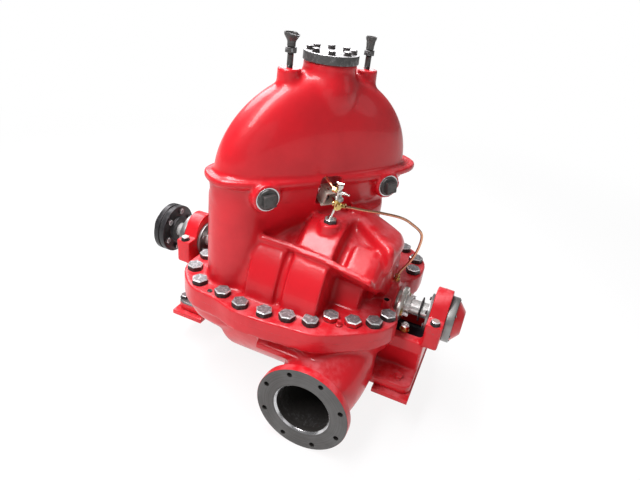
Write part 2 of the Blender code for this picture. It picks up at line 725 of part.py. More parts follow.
lower_casing = prism("lower_casing", flange_points, -FLANGE_THICKNESS, SPLIT_ALLOWANCE,
                     finish=RED_PAINT)
skirt = loft("skirt_form", [[(share * x, share * y, -drop) for x, y in flange_points]
                            for drop, share in SKIRT])
belly = turned("belly_form",
               [(0.0, BELLY_END_X), (BELLY_END_RADIUS, BELLY_END_X), (BARREL_RADIUS, BELLY_CONE_X),
                (BELLY_RADIUS, BELLY_HALF_LENGTH), (BELLY_RADIUS, -BELLY_HALF_LENGTH),
                (BARREL_RADIUS, -BELLY_CONE_X), (BELLY_END_RADIUS, -BELLY_END_X),
                (0.0, -BELLY_END_X)],
               direction=(1.0, 0.0, 0.0), steps=40)
join(lower_casing, skirt, belly, *end_bodies, *stuffing_boxes)
join(lower_casing, *both_ways(prism("shelf_form", SHELF_EDGE, *SHELF_SPAN, along_shaft=True)))


def nozzle_neck():
    """The suction neck, which spreads from the flange circle into the casing wall."""
    sections = []
    for back, shift, rise, spread, growth in NECK_LINE:
        ring = oval(NOZZLE_NECK_RADIUS + spread, NOZZLE_NECK_RADIUS + growth, 2.2, 28)
        sections.append([(NOZZLE_X + shift + u, back - NOZZLE_FACE_Y, rise - NOZZLE_DROP + v)
                         for u, v in ring])
    return loft("nozzle_neck_form", sections)


nozzle_face = Vector((NOZZLE_X, -NOZZLE_FACE_Y, -NOZZLE_DROP))
into_casing = Vector((0.0, 1.0, 0.0))
nozzle_flange = rod("nozzle_flange_form", NOZZLE_FLANGE_RADIUS,
                    nozzle_face + into_casing * NOZZLE_FLANGE_THICKNESS, nozzle_face, sides=40)
nozzle_bore = rod("nozzle_bore", NOZZLE_BORE_RADIUS, nozzle_face + into_casing * NOZZLE_BORE_DEPTH,
                  nozzle_face - into_casing * NOZZLE_FLANGE_THICKNESS)
join(lower_casing, *both_ways(nozzle_neck()), *both_ways(nozzle_flange))


def rounded_rectangle(x_low, x_high, half_width, radius, steps=4):
    """A rectangle in plan with round corners."""
    points = []
    middles = [(x_high - radius, half_width - radius, 0), (x_low + radius, half_width - radius, 90),
               (x_low + radius, -half_width + radius, 180), (x_high - radius, -half_width + radius, 270)]
    for x, y, start in middles:
        for i in range(steps + 1):
            angle = math.radians(start + 90 * i / steps)
            points.append((x + radius * math.cos(angle), y + radius * math.sin(angle)))
    return points


def housing_outline():
    """The lower half of a bearing housing seen along the shaft."""
    ear = [(-EAR_HALF_WIDTH, SPLIT_ALLOWANCE), (-EAR_HALF_WIDTH, -EAR_DEPTH)]
    arc = [math.radians(a) for a in range(205, 336, 10)]
    under = [(HOUSING_RADIUS * math.cos(a), HOUSING_RADIUS * math.sin(a)) for a in arc]
    return ear + under + [(EAR_HALF_WIDTH, -EAR_DEPTH), (EAR_HALF_WIDTH, SPLIT_ALLOWANCE)]


def cap_outline():
    """A bearing cap seen along the shaft: two flat ears and a high crown."""
    centre_height = CAP_CREST - CAP_CROWN_RADIUS
    crown = []
    for a in range(160, 19, -10):
        angle = math.radians(a)
        crown.append((CAP_CROWN_RADIUS * math.cos(angle),
                      centre_height + CAP_CROWN_RADIUS * math.sin(angle)))
    low = SEAT_GAP / 2
    left = [(-EAR_HALF_WIDTH, low), (-EAR_HALF_WIDTH, EAR_HEIGHT), (-CAP_SHOULDER, EAR_HEIGHT)]
    right = [(CAP_SHOULDER, EAR_HEIGHT), (EAR_HALF_WIDTH, EAR_HEIGHT), (EAR_HALF_WIDTH, low)]
    return left + crown + right


HALF_BEARING = BEARING_WIDTH / 2
bearing_face = BEARING_X - HALF_BEARING
arm = box("bracket_form", (BRACKET_ROOT_X, -BRACKET_HALF_WIDTH, -FOOT_TOP_DROP - 0.010),
          (bearing_face + 0.012, BRACKET_HALF_WIDTH, -BRACKET_TOP_DROP), bevel=0.006)
foot = prism("foot_form",
             rounded_rectangle(FOOT_X - FOOT_LENGTH / 2 - FOOT_INNER_REACH, FOOT_X + FOOT_LENGTH / 2,
                               FOOT_HALF_WIDTH, FOOT_CORNER_RADIUS),
             -FOOT_TOP_DROP - FOOT_THICKNESS, -FOOT_TOP_DROP)
housing = prism("housing_form", housing_outline(), bearing_face, BEARING_X + HALF_BEARING,
                along_shaft=True)
for form in (arm, foot, housing):
    join(lower_casing, *both_ways(form))

pocket_width = BRACKET_HALF_WIDTH - BRACKET_WALL
pocket = box("bracket_pocket", (FLANGE_END_X, -pocket_width, -BRACKET_FLOOR_DROP),
             (bearing_face, pocket_width, HOUSING_RADIUS), bevel=0.010)
bearing_bores = both_ways(rod("bearing_bore", SHAFT_RADIUS + RUNNING_GAP,
                              (bearing_face - 0.020, 0.0, 0.0), (EXTENT, 0.0, 0.0), sides=40))
casing_channel = rod("casing_channel", STUFFING_BORE_RADIUS, (-FLANGE_END_X - 0.020, 0.0, 0.0),
                     (FLANGE_END_X + 0.020, 0.0, 0.0), sides=40)
above_split = box("above_split", (-EXTENT, -EXTENT, -SEAT_GAP / 2), (EXTENT, EXTENT, EXTENT))
cut(lower_casing, *both_ways(pocket), *both_ways(nozzle_bore), casing_channel, *bearing_bores,
    above_split)
weld(lower_casing)


def ring(name, bore_radius, outer_radius, station, thickness, finish, parent=None):
    """A ring about the shaft that starts at a station and runs away from the casing."""
    low, high = sorted((station, station + math.copysign(thickness, station)))
    profile = [(bore_radius, high), (outer_radius, high), (outer_radius, low), (bore_radius, low)]
    return turned(name, profile, direction=(1.0, 0.0, 0.0), finish=finish, parent=parent)


# Bearings and feet

shaft_bore = SHAFT_RADIUS + RUNNING_GAP
inner_cover_x = bearing_face - SEAT_GAP - INNER_COVER_THICKNESS
outer_face = BEARING_X + HALF_BEARING + SEAT_GAP
cap_face = outer_face + COVER_DISC_THICKNESS + SEAT_GAP
plate_top = -FOOT_TOP_DROP - FOOT_THICKNESS - SEAT_GAP
for (side, label), bore in zip(ENDS, bearing_bores):
    cap = prism(f"bearing_cap_{label}", cap_outline(), side * BEARING_X - HALF_BEARING,
                side * BEARING_X + HALF_BEARING, along_shaft=True, finish=RED_PAINT)
    cut(cap, bore)
    ring(f"inner_bearing_cover_{label}", shaft_bore, INNER_COVER_RADIUS, side * inner_cover_x,
         INNER_COVER_THICKNESS, GREY)
    plate_x = side * FOOT_X
    box(f"sole_plate_{label}", (plate_x - SOLE_LENGTH / 2, -SOLE_HALF_WIDTH, plate_top - SOLE_THICKNESS),
        (plate_x + SOLE_LENGTH / 2, SOLE_HALF_WIDTH, plate_top), finish=RED_PAINT)

cap_bore = SHAFT_RADIUS + COVER_DISC_CLEARANCE
ring("end_cover_outboard", cap_bore, COVER_DISC_RADIUS, outer_face, COVER_DISC_THICKNESS, GREY)
ring("end_cover_inboard", shaft_bore, COVER_DISC_RADIUS, -outer_face, INBOARD_COVER_THICKNESS, GREY)
turned("end_cap_outboard",
       [(0.0, cap_face + END_CAP_LENGTH), (END_CAP_TIP_RADIUS, cap_face + END_CAP_LENGTH),
        (END_CAP_RADIUS, cap_face), (cap_bore, cap_face), (cap_bore, cap_face + END_CAP_HOLLOW),
        (0.0, cap_face + END_CAP_HOLLOW)],
       direction=(1.0, 0.0, 0.0), finish=RED_PAINT)


def gland(side, label):
    """A packing gland: an eared plate with a nose that enters the stuffing box."""
    face, back = side * GLAND_X, side * (GLAND_X + GLAND_THICKNESS)
    plate = rod(f"gland_{label}", GLAND_RADIUS, (face, 0.0, 0.0), (back, 0.0, 0.0), finish=GREY)
    nose = rod(f"gland_nose_{label}", STUFFING_BORE_RADIUS - GLAND_NOSE_GAP,
               (face + side * GLAND_THICKNESS / 8, 0.0, 0.0),
               (side * (FLANGE_END_X - GLAND_NOSE_DEPTH), 0.0, 0.0))
    join(plate, nose)
    ear_y = GLAND_EAR_REACH - GLAND_EAR_RADIUS
    for hand in (-1, 1):
        join(plate, rod(f"gland_ear_{label}_{hand}", GLAND_EAR_RADIUS, (face, hand * ear_y, 0.0),
                        (back, hand * ear_y, 0.0), sides=16))
    cut(plate, rod(f"gland_clear_{label}", SLEEVE_RADIUS + SLEEVE_GAP, (side * END_BODY_X, 0.0, 0.0),
                   (side * (GLAND_X + 2 * GLAND_THICKNESS), 0.0, 0.0)))


for side, label in ENDS:
    gland(side, label)

# Arch fittings

cover_low = NECK_TOP + SEAT_GAP
cover_radius = NECK_RADIUS + COVER_LIP
turned("top_cover",
       [(0.0, cover_low + COVER_THICKNESS), (cover_radius - COVER_LIP / 2, cover_low + COVER_THICKNESS),
        (cover_radius, cover_low + COVER_THICKNESS - COVER_LIP / 2), (cover_radius, cover_low),
        (0.0, cover_low)], at=arch_point(0.0, 0.0, 0.0), steps=32, finish=GREY)

for name, along, face in plug_spots():
    seat = Vector(arch_point(along, face * (PLUG_PAD_FACE + SEAT_GAP), PLUG_HEIGHT))
    normal = Vector(arch_point(0.0, face, 0.0)) - Vector(arch_point(0.0, 0.0, 0.0))
    head = rod(name, PLUG_HEAD_RADIUS, seat, seat + normal * PLUG_HEAD_THICKNESS, sides=24,
               finish=DARK)
    stand = (Matrix.Translation(seat) @ Matrix.Rotation(math.radians(ARCH_ANGLE), 4, "Z")
             @ Matrix.Rotation(face * math.pi / 2, 4, "X"))
    square = box("square_of_" + name, (-PLUG_SQUARE / 2, -PLUG_SQUARE / 2, PLUG_HEAD_THICKNESS / 8),
                 (PLUG_SQUARE / 2, PLUG_SQUARE / 2, PLUG_HEAD_THICKNESS + PLUG_SQUARE_LENGTH),
                 bevel=PLUG_SQUARE_BEVEL, segments=1, matrix=stand)
    join(head, square)


def vent(side, label):
    """A vent on its boss: a short pipe, a hex coupling and a flared cup."""
    spot = Vector(arch_point(side * VENT_BOSS_REACH, 0.0, VENT_BOSS_TOP + SEAT_GAP))
    pipe_end = spot + Vector((0.0, 0.0, VENT_PIPE_LENGTH))
    nut_low = pipe_end + Vector((0.0, 0.0, SEAT_GAP))
    nut_high = nut_low + Vector((0.0, 0.0, VENT_NUT_LENGTH))
    rod(f"vent_pipe_{label}", VENT_PIPE_RADIUS, spot, pipe_end, sides=20, finish=GREY)
    rod(f"vent_coupling_{label}", VENT_NUT_RADIUS, nut_low, nut_high, sides=6, finish=GREY)
    lip, wall, flare, stem = VENT_CUP_RADII[label], VENT_CUP_WALL, 0.75, 0.45
    length = VENT_CUP_LENGTH
    turned(f"vent_cup_{label}",
           [(lip - wall, length), (lip, length), (lip * 0.96, flare * length),
            (VENT_CUP_STEM, stem * length), (VENT_CUP_STEM, 0.0), (VENT_CUP_BORE, 0.0),
            (VENT_CUP_BORE, stem * length), (lip * 0.96 - wall, flare * length)],
           at=nut_high + Vector((0.0, 0.0, SEAT_GAP)), steps=16, finish=GREY)


for side, label in SIDES:
    vent(side, label)

# Valve group on the front boss

boss_top = Vector((VALVE_BOSS_X, VALVE_BOSS_Y, VALVE_BOSS_TOP + SEAT_GAP))
bushing_top = boss_top + Vector((0.0, 0.0, BUSHING_HEIGHT))
riser_low = bushing_top + Vector((0.0, 0.0, SEAT_GAP))
riser_high = riser_low + Vector((0.0, 0.0, RISER_HEIGHT))
body_low = riser_high + Vector((0.0, 0.0, SEAT_GAP))
arm_middle = body_low + Vector((0.0, 0.0, MANIFOLD_ARM_HEIGHT))
arm_out = arm_middle + Vector((MANIFOLD_ARM_OUT, 0.0, 0.0))
arm_in = arm_middle - Vector((MANIFOLD_ARM_IN, 0.0, 0.0))
rod("hex_bushing", BUSHING_RADIUS, boss_top, bushing_top, sides=6, finish=GREY)
rod("valve_riser", RISER_RADIUS, riser_low, riser_high, sides=16, finish=GREY)
valve_body = rod("valve_manifold", MANIFOLD_RADIUS, body_low,
                 body_low + Vector((0.0, 0.0, MANIFOLD_HEIGHT)), sides=20, finish=POLISHED_BRASS)
join(valve_body, rod("manifold_arm_form", MANIFOLD_ARM_RADIUS, arm_in, arm_out, sides=16))


def bow(start, end):
    """The tube's free stretch, which bows out past its end before it comes down to it."""
    return [Vector((start.x + (end.x - start.x) * way, start.y + (end.y - start.y) * way,
                    end.z + (start.z - end.z) * height)) for way, height in TUBE_BOW]


along = Vector((TUBE_STUB, 0.0, 0.0))
upward = Vector((0.0, 0.0, TUBE_STUB))
seat_shift = Vector((SEAT_GAP, 0.0, 0.0))
tube_ends = {}
for side, label in ENDS:
    fitting_low = Vector((side * TUBE_PAD_X, side * TUBE_PAD_Y, TUBE_PAD_TOP + SEAT_GAP))
    fitting_high = fitting_low + Vector((0.0, 0.0, FITTING_HEIGHT))
    rod(f"tube_fitting_{label}", FITTING_RADIUS, fitting_low, fitting_high, sides=6,
        finish=POLISHED_BRASS)
    tube_ends[label] = fitting_high + Vector((0.0, 0.0, SEAT_GAP))

start, end = arm_out + seat_shift, tube_ends["outboard"]
bent_tube("bypass_tube_outboard", [start, start + along, *bow(start, end), end + upward, end],
          TUBE_RADIUS, finish=DRAWN_COPPER)

start, end = arm_in - seat_shift, tube_ends["inboard"]
crossing = WINDOW_CENTRE + TUBE_RISE_IN_WINDOW
in_window = [Vector(arch_point(WINDOW_SHIFT, across, crossing)) for across in (0.085, 0.0, -0.100)]
bent_tube("bypass_tube_inboard",
          [start, start - along, *in_window, *bow(in_window[-1], end), end + upward, end],
          TUBE_RADIUS, finish=DRAWN_COPPER)

# Rotor

rod("shaft", SHAFT_RADIUS, (SHAFT_INBOARD_END, 0.0, 0.0), (SHAFT_OUTBOARD_END, 0.0, 0.0), sides=40,
    finish=STEEL, parent=ROTOR)
fit_bore = SHAFT_RADIUS + SEAT_GAP
for side, label in ENDS:
    ring(f"shaft_sleeve_{label}", fit_bore, SLEEVE_RADIUS, side * SLEEVE_SPAN[0],
         SLEEVE_SPAN[1] - SLEEVE_SPAN[0], STEEL, parent=ROTOR)
    ring(f"slinger_{label}", fit_bore, SLINGER_RADIUS, side * SLINGER_X, SLINGER_THICKNESS,
         BLACK_RUBBER, parent=ROTOR)

hub_low, hub_high = HUB_SPAN
groove_high = hub_high - HUB_GROOVE_START
groove_low = groove_high - HUB_GROOVE_WIDTH
turned("coupling_hub",
       [(fit_bore, hub_high), (HUB_NECK_RADIUS, hub_high), (HUB_NECK_RADIUS, hub_high - HUB_NECK_LENGTH),
        (HUB_RADIUS, hub_high - HUB_NECK_LENGTH), (HUB_RADIUS, groove_high),
        (HUB_RADIUS - HUB_GROOVE_DEPTH, groove_high), (HUB_RADIUS - HUB_GROOVE_DEPTH, groove_low),
        (HUB_RADIUS, groove_low), (HUB_RADIUS, hub_high - HUB_RIM_LENGTH),
        (HUB_NECK_RADIUS, hub_high - HUB_RIM_LENGTH), (HUB_NECK_RADIUS, hub_low), (fit_bore, hub_low)],
       direction=(1.0, 0.0, 0.0), finish=BLACK_IRON, parent=ROTOR)
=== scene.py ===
"""Looks of a two-stage horizontal split case pump.

The casing is cast iron under red enamel, with machined faces, hex bolts, square headed plugs,
copper bypass tubes and a steel shaft in two pedestal bearings.
"""

import logging
import math
from dataclasses import dataclass, field
from enum import Enum
from typing import Callable

import bmesh
import bpy
import numpy as np
from mathutils import Matrix, Vector
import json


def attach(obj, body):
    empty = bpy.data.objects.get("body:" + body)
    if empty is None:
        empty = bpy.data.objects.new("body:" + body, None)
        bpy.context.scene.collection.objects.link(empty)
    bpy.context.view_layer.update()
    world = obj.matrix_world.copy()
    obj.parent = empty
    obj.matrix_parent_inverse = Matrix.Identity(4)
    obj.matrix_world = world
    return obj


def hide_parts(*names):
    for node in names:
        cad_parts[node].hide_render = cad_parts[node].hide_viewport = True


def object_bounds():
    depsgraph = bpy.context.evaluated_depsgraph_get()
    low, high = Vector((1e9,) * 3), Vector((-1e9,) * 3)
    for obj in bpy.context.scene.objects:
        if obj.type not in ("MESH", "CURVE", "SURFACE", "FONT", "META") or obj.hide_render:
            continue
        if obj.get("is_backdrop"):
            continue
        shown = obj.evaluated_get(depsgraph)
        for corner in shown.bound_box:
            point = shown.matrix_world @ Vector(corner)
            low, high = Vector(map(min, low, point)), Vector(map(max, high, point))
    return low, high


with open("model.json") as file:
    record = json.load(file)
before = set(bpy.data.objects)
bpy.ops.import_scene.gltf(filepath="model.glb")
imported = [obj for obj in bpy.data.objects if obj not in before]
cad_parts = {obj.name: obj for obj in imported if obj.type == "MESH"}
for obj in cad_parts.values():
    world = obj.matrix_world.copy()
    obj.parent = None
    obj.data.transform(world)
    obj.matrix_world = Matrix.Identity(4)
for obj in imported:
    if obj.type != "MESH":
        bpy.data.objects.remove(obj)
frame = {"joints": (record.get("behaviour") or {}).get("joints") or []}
CAD_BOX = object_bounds()
LOG = logging.getLogger("split_case_pump")
SHAFT_POINT = Vector(frame["joints"][0]["pos_m"])
STATIC_BODY = "casing"
TURNING_BODY = "rotor"
HEAD_SINK = 0.0004
Shape = bmesh.types.BMesh
Socket = bpy.types.NodeSocket


class End(Enum):
    """The two ends of the pump, by the sign of X along the shaft."""

    OUTBOARD = 1
    INBOARD = -1


class Face(Enum):
    """The two broad faces of the crossover arch, by the sign of its cross direction."""

    FRONT = 1
    REAR = -1


# Mesh tools: every form is drawn from the middle of the pump, on the shaft axis


def linked(name: str, data: bpy.types.ID) -> bpy.types.Object:
    """A new object of a mesh, a lamp or a camera, in the scene."""
    thing = bpy.data.objects.new(name, data)
    bpy.context.scene.collection.objects.link(thing)
    return thing


def ring_edges(shape: Shape, points: list) -> list:
    """Draw a closed loop of edges.

    Args:
        shape: The mesh that gets the loop.
        points: The loop's corners in order.

    Returns:
        The new edges.
    """
    verts = [shape.verts.new(point) for point in points]
    return [shape.edges.new((a, b)) for a, b in zip(verts, verts[1:] + verts[:1])]


def rounded(shape: Shape, edges: list, size: float, segments: int) -> None:
    """Round some edges of a shape.

    Args:
        shape: The shape, which is changed.
        edges: The edges.
        size: How far from each edge the rounding starts.
        segments: The faces of each rounding.
    """
    bmesh.ops.bevel(shape, geom=edges, offset=size, segments=segments, profile=0.5,
                    affect="EDGES", material=-1)


def smooth_share(value: float, low: float, high: float) -> float:
    """How far a value has come from one end of a span to the other, with a soft start and end."""
    share = min(max((value - low) / (high - low), 0.0), 1.0)
    return share * share * (3.0 - 2.0 * share)


def curve_point(a: Vector, b: Vector, c: Vector, d: Vector, t: float) -> Vector:
    """A point of the smooth curve through four points, between the middle two of them."""
    return 0.5 * (2 * b + (c - a) * t + (2 * a - 5 * b + 4 * c - d) * t * t
                  + (3 * b - a - 3 * c + d) * t ** 3)


def lofted(sections: list) -> Shape:
    """Bridge a row of closed sections and close both ends.

    Args:
        sections: Lists of as many points each.

    Returns:
        A closed mesh.
    """
    shape = bmesh.new()
    loops = [ring_edges(shape, section) for section in sections]
    for first, second in zip(loops, loops[1:]):
        bmesh.ops.bridge_loops(shape, edges=first + second)
    bmesh.ops.edgeloop_fill(shape, edges=loops[0])
    bmesh.ops.edgeloop_fill(shape, edges=loops[-1])
    bmesh.ops.recalc_face_normals(shape, faces=shape.faces)
    return shape


def revolved(profile: list, steps: int = 160, matrix: Matrix = Matrix()) -> Shape:
    """Spin a profile of (radius, height) points about Z.

    Args:
        profile: Points from one pole to the other, or a closed outline clear of the axis.
        steps: How many stations the turn has.
        matrix: Where the turned shape goes.

    Returns:
        A closed mesh.
    """
    shape = bmesh.new()
    verts = [shape.verts.new((radius, 0.0, height)) for radius, height in profile]
    pairs = list(zip(verts, verts[1:]))
    if profile[0][0] > 0.0:
        pairs.append((verts[-1], verts[0]))
    for pair in pairs:
        shape.edges.new(pair)
    bmesh.ops.spin(shape, geom=shape.verts[:] + shape.edges[:], cent=(0.0, 0.0, 0.0),
                   axis=(0.0, 0.0, 1.0), dvec=(0.0, 0.0, 0.0), angle=2.0 * math.pi, steps=steps,
                   use_merge=True, use_normal_flip=False, use_duplicate=False)
    bmesh.ops.remove_doubles(shape, verts=shape.verts, dist=0.00001)
    bmesh.ops.recalc_face_normals(shape, faces=shape.faces)
    bmesh.ops.transform(shape, matrix=matrix, verts=shape.verts)
    return shape


def extruded(outline: list, depth: Vector) -> Shape:
    """Give a flat outline a depth.

    Args:
        outline: The outline's points in space.
        depth: The way and the distance that it is drawn out.

    Returns:
        A closed mesh.
    """
    shape = bmesh.new()
    face = shape.faces.new([shape.verts.new(point) for point in outline])
    grown = bmesh.ops.extrude_face_region(shape, geom=[face], use_keep_orig=True)
    moved = [item for item in grown["geom"] if isinstance(item, bmesh.types.BMVert)]
    bmesh.ops.translate(shape, vec=depth, verts=moved)
    bmesh.ops.recalc_face_normals(shape, faces=shape.faces)
    return shape


def block(low: tuple, high: tuple, bevel: float = 0.0, segments: int = 3,
          matrix: Matrix = Matrix()) -> Shape:
    """A cuboid with rounded edges.

    Args:
        low: Its lowest corner.
        high: Its highest corner.
        bevel: How far its edges are rounded.
        segments: The faces round each edge.
        matrix: Where it goes.

    Returns:
        A closed mesh.
    """
    shape = bmesh.new()
    bmesh.ops.create_cube(shape, size=1.0)
    bmesh.ops.scale(shape, vec=Vector(high) - Vector(low), verts=shape.verts)
    bmesh.ops.translate(shape, vec=(Vector(high) + Vector(low)) / 2.0, verts=shape.verts)
    if bevel:
        rounded(shape, shape.edges[:], bevel, segments)
    bmesh.ops.transform(shape, matrix=matrix, verts=shape.verts)
    return shape


def along_axis(start: Vector, end: Vector) -> Matrix:
    """The matrix that stands local Z on the way from one point to another, at the first."""
    way = (end - start).normalized()
    return Matrix.Translation(start) @ Vector((0.0, 0.0, 1.0)).rotation_difference(way).to_matrix().to_4x4()


def round_bar(radius: float, start: tuple, end: tuple, sides: int = 64,
              tip_radius: float | None = None) -> Shape:
    """A plain cylinder or cone between two points.

    Args:
        radius: Its radius at the start.
        start: The middle of its first end.
        end: The middle of its other end.
        sides: The faces round it.
        tip_radius: Its radius at the end, where that is different.

    Returns:
        A closed mesh.
    """
    first, last = Vector(start), Vector(end)
    shape = bmesh.new()
    length = (last - first).length
    bmesh.ops.create_cone(shape, cap_ends=True, segments=sides, radius1=radius,
                          radius2=radius if tip_radius is None else tip_radius, depth=length)
    bmesh.ops.translate(shape, vec=(0.0, 0.0, length / 2.0), verts=shape.verts)
    bmesh.ops.transform(shape, matrix=along_axis(first, last), verts=shape.verts)
    return shape


def half_turned(shape: Shape) -> Shape:
    """A copy turned half a turn about the pump's upright middle line.

    Args:
        shape: The shape, which stays as it is.

    Returns:
        The turned copy.
    """
    twin = shape.copy()
    bmesh.ops.rotate(twin, cent=(0.0, 0.0, 0.0), matrix=Matrix.Rotation(math.pi, 3, "Z"),
                     verts=twin.verts)
    return twin


def oval(half_length: float, half_width: float, exponent: float, count: int = 120) -> list:
    """Points of a superellipse, anticlockwise, as (u, v) pairs.

    Args:
        half_length: Half its longer axis.
        half_width: Half its shorter axis.
        exponent: 2 for an ellipse, more for a squarer form.
        count: How many points it has.

    Returns:
        The points.
    """
    points = []
    for step in range(count):
        angle = 2.0 * math.pi * step / count
        c, s = math.cos(angle), math.sin(angle)
        points.append((half_length * math.copysign(abs(c) ** (2.0 / exponent), c),
                       half_width * math.copysign(abs(s) ** (2.0 / exponent), s)))
    return points


def evaluated_mesh(thing: bpy.types.Object) -> bpy.types.Mesh:
    """The mesh of an object with its modifiers, and the object is removed.

    Args:
        thing: The object.

    Returns:
        A new mesh.
    """
    graph = bpy.context.evaluated_depsgraph_get()
    mesh = bpy.data.meshes.new_from_object(thing.evaluated_get(graph))
    bpy.data.objects.remove(thing, do_unlink=True)
    return mesh


def mesh_from(name: str, shapes: list) -> bpy.types.Mesh:
    """Gather shapes in one mesh.

    Args:
        name: The mesh's name.
        shapes: The shapes, which are freed.

    Returns:
        The new mesh.
    """
    whole = bmesh.new()
    part = bpy.data.meshes.new(name + "_part")
    for shape in shapes:
        shape.to_mesh(part)
        whole.from_mesh(part)
        shape.free()
    mesh = bpy.data.meshes.new(name)
    whole.to_mesh(mesh)
    whole.free()
    bpy.data.meshes.remove(part)
    return mesh


def carved(mesh: bpy.types.Mesh, cutters: list) -> bpy.types.Mesh:
    """Take cutters out of a closed mesh.

    Args:
        mesh: The mesh that is cut.
        cutters: The shapes to take out, which are freed.

    Returns:
        The cut mesh.
    """
    target = linked("carved", mesh)
    tools = []
    for number, cutter in enumerate(cutters):
        tool = linked(f"cutter_{number}", mesh_from("cutter", [cutter]))
        modifier = target.modifiers.new(f"cut_{number}", "BOOLEAN")
        modifier.operation = "DIFFERENCE"
        modifier.solver = "EXACT"
        modifier.object = tool
        tools.append(tool)
    result = evaluated_mesh(target)
    for tool in tools:
        bpy.data.objects.remove(tool, do_unlink=True)
    return result


def as_shape(mesh: bpy.types.Mesh) -> Shape:
    """A mesh opened for editing."""
    shape = bmesh.new()
    shape.from_mesh(mesh)
    return shape


def fused(name: str, shapes: list, voxel: float) -> bpy.types.Mesh:
    """Melt overlapping shapes into one skin.

    Args:
        name: The skin's name.
        shapes: Closed shapes, which are freed.
        voxel: The size of the skin's cells.

    Returns:
        One closed mesh of even quads.
    """
    thing = linked(name, mesh_from(name, shapes))
    remesh = thing.modifiers.new("skin", "REMESH")
    remesh.mode = "VOXEL"
    remesh.voxel_size = voxel
    return evaluated_mesh(thing)


def relaxed(mesh: bpy.types.Mesh, rounds: int, ridge: float, hollow: float) -> bpy.types.Mesh:
    """Round a skin as a casting is rounded, more in its hollows than on its ridges.

    Args:
        mesh: The skin, which is changed.
        rounds: How many times each point moves towards its neighbours.
        ridge: How far it moves each time where the skin bulges.
        hollow: How far it moves each time where the skin is hollow.

    Returns:
        The same mesh.
    """
    count = len(mesh.vertices)
    places = np.empty(count * 3, np.float32)
    mesh.vertices.foreach_get("co", places)
    places = places.reshape(-1, 3).astype(np.float64)
    links = np.empty(len(mesh.edges) * 2, np.int32)
    mesh.edges.foreach_get("vertices", links)
    first, second = links[0::2], links[1::2]
    valence = np.bincount(links, minlength=count)[:, None]
    for _ in range(rounds):
        total = np.stack([np.bincount(first, places[second, axis], count)
                          + np.bincount(second, places[first, axis], count) for axis in range(3)], 1)
        pull = total / valence - places
        mesh.vertices.foreach_set("co", places.astype(np.float32).ravel())
        mesh.update()
        normals = np.empty(count * 3, np.float32)
        mesh.vertex_normals.foreach_get("vector", normals)
        inward = np.einsum("ij,ij->i", pull, normals.reshape(-1, 3)) < 0.0
        places += pull * np.where(inward, ridge, hollow)[:, None]
    mesh.vertices.foreach_set("co", places.astype(np.float32).ravel())
    mesh.update()
    return mesh


def trimmed(shape: Shape, point: tuple, outward: tuple) -> Shape:
    """Machine a flat face: cut off what lies beyond a plane and close the cut.

    Args:
        shape: A closed mesh, which is changed.
        point: A point of the plane.
        outward: The way from the kept side to the lost one.

    Returns:
        The same shape.
    """
    cut = bmesh.ops.bisect_plane(shape, geom=shape.verts[:] + shape.edges[:] + shape.faces[:],
                                 dist=0.00001, plane_co=point, plane_no=outward, clear_outer=True,
                                 clear_inner=False)
    edges = [item for item in cut["geom_cut"] if isinstance(item, bmesh.types.BMEdge)]
    bmesh.ops.triangle_fill(shape, edges=edges, use_beauty=True, use_dissolve=False,
                            normal=outward)
    bmesh.ops.recalc_face_normals(shape, faces=shape.faces)
    return shape


def eased(outline: list, size: float, steps: int = 3) -> list:
    """Round the corners of a closed outline.

    Args:
        outline: Its corners, as (u, v) pairs.
        size: How far from each corner the rounding starts.
        steps: The pieces of each rounding.

    Returns:
        The rounded outline's points.
    """
    points = []
    for i, middle in enumerate(outline):
        corner = Vector(middle)
        back = Vector(outline[i - 1]) - corner
        forth = Vector(outline[(i + 1) % len(outline)]) - corner
        first = corner + back.normalized() * min(size, back.length / 2.2)
        last = corner + forth.normalized() * min(size, forth.length / 2.2)
        for step in range(steps + 1):
            t = step / steps
            points.append(tuple(first.lerp(corner, t).lerp(corner.lerp(last, t), t)))
    return points


def ring_round(outline: list, at: tuple, way: tuple, easing: float = 0.001,
               steps: int = 96) -> Shape:
    """Turn a closed outline about an axis.

    Args:
        outline: (radius, height) corners, all clear of the axis.
        at: A point of the axis, at height nought.
        way: The axis's direction.
        easing: How far the outline's corners are rounded.
        steps: How many stations the turn has.

    Returns:
        A closed mesh.
    """
    start = Vector(at)
    return revolved(eased(outline, easing), steps, along_axis(start, start + Vector(way)))


def capped_round(profile: list, at: tuple, way: tuple, steps: int = 96) -> Shape:
    """Turn a profile that runs from one pole to the other about an axis.

    Args:
        profile: (radius, height) points, the first and the last on the axis.
        at: A point of the axis, at height nought.
        way: The axis's direction.
        steps: How many stations the turn has.

    Returns:
        A closed mesh.
    """
    start = Vector(at)
    return revolved(profile, steps, along_axis(start, start + Vector(way)))


def stained(shape: Shape, index: int, where: Callable = None) -> Shape:
    """Give faces one of their piece's finishes.

    Args:
        shape: The shape, which is changed.
        index: The finish's place in the piece's list.
        where: Tells from a face whether it gets the finish; every face does without it.

    Returns:
        The same shape.
    """
    for face in shape.faces:
        if where is None or where(face):
            face.material_index = index
    return shape


def melted(shapes: list) -> Shape:
    """Lay shapes together in one mesh without joining their walls."""
    return as_shape(mesh_from("laid together", shapes))


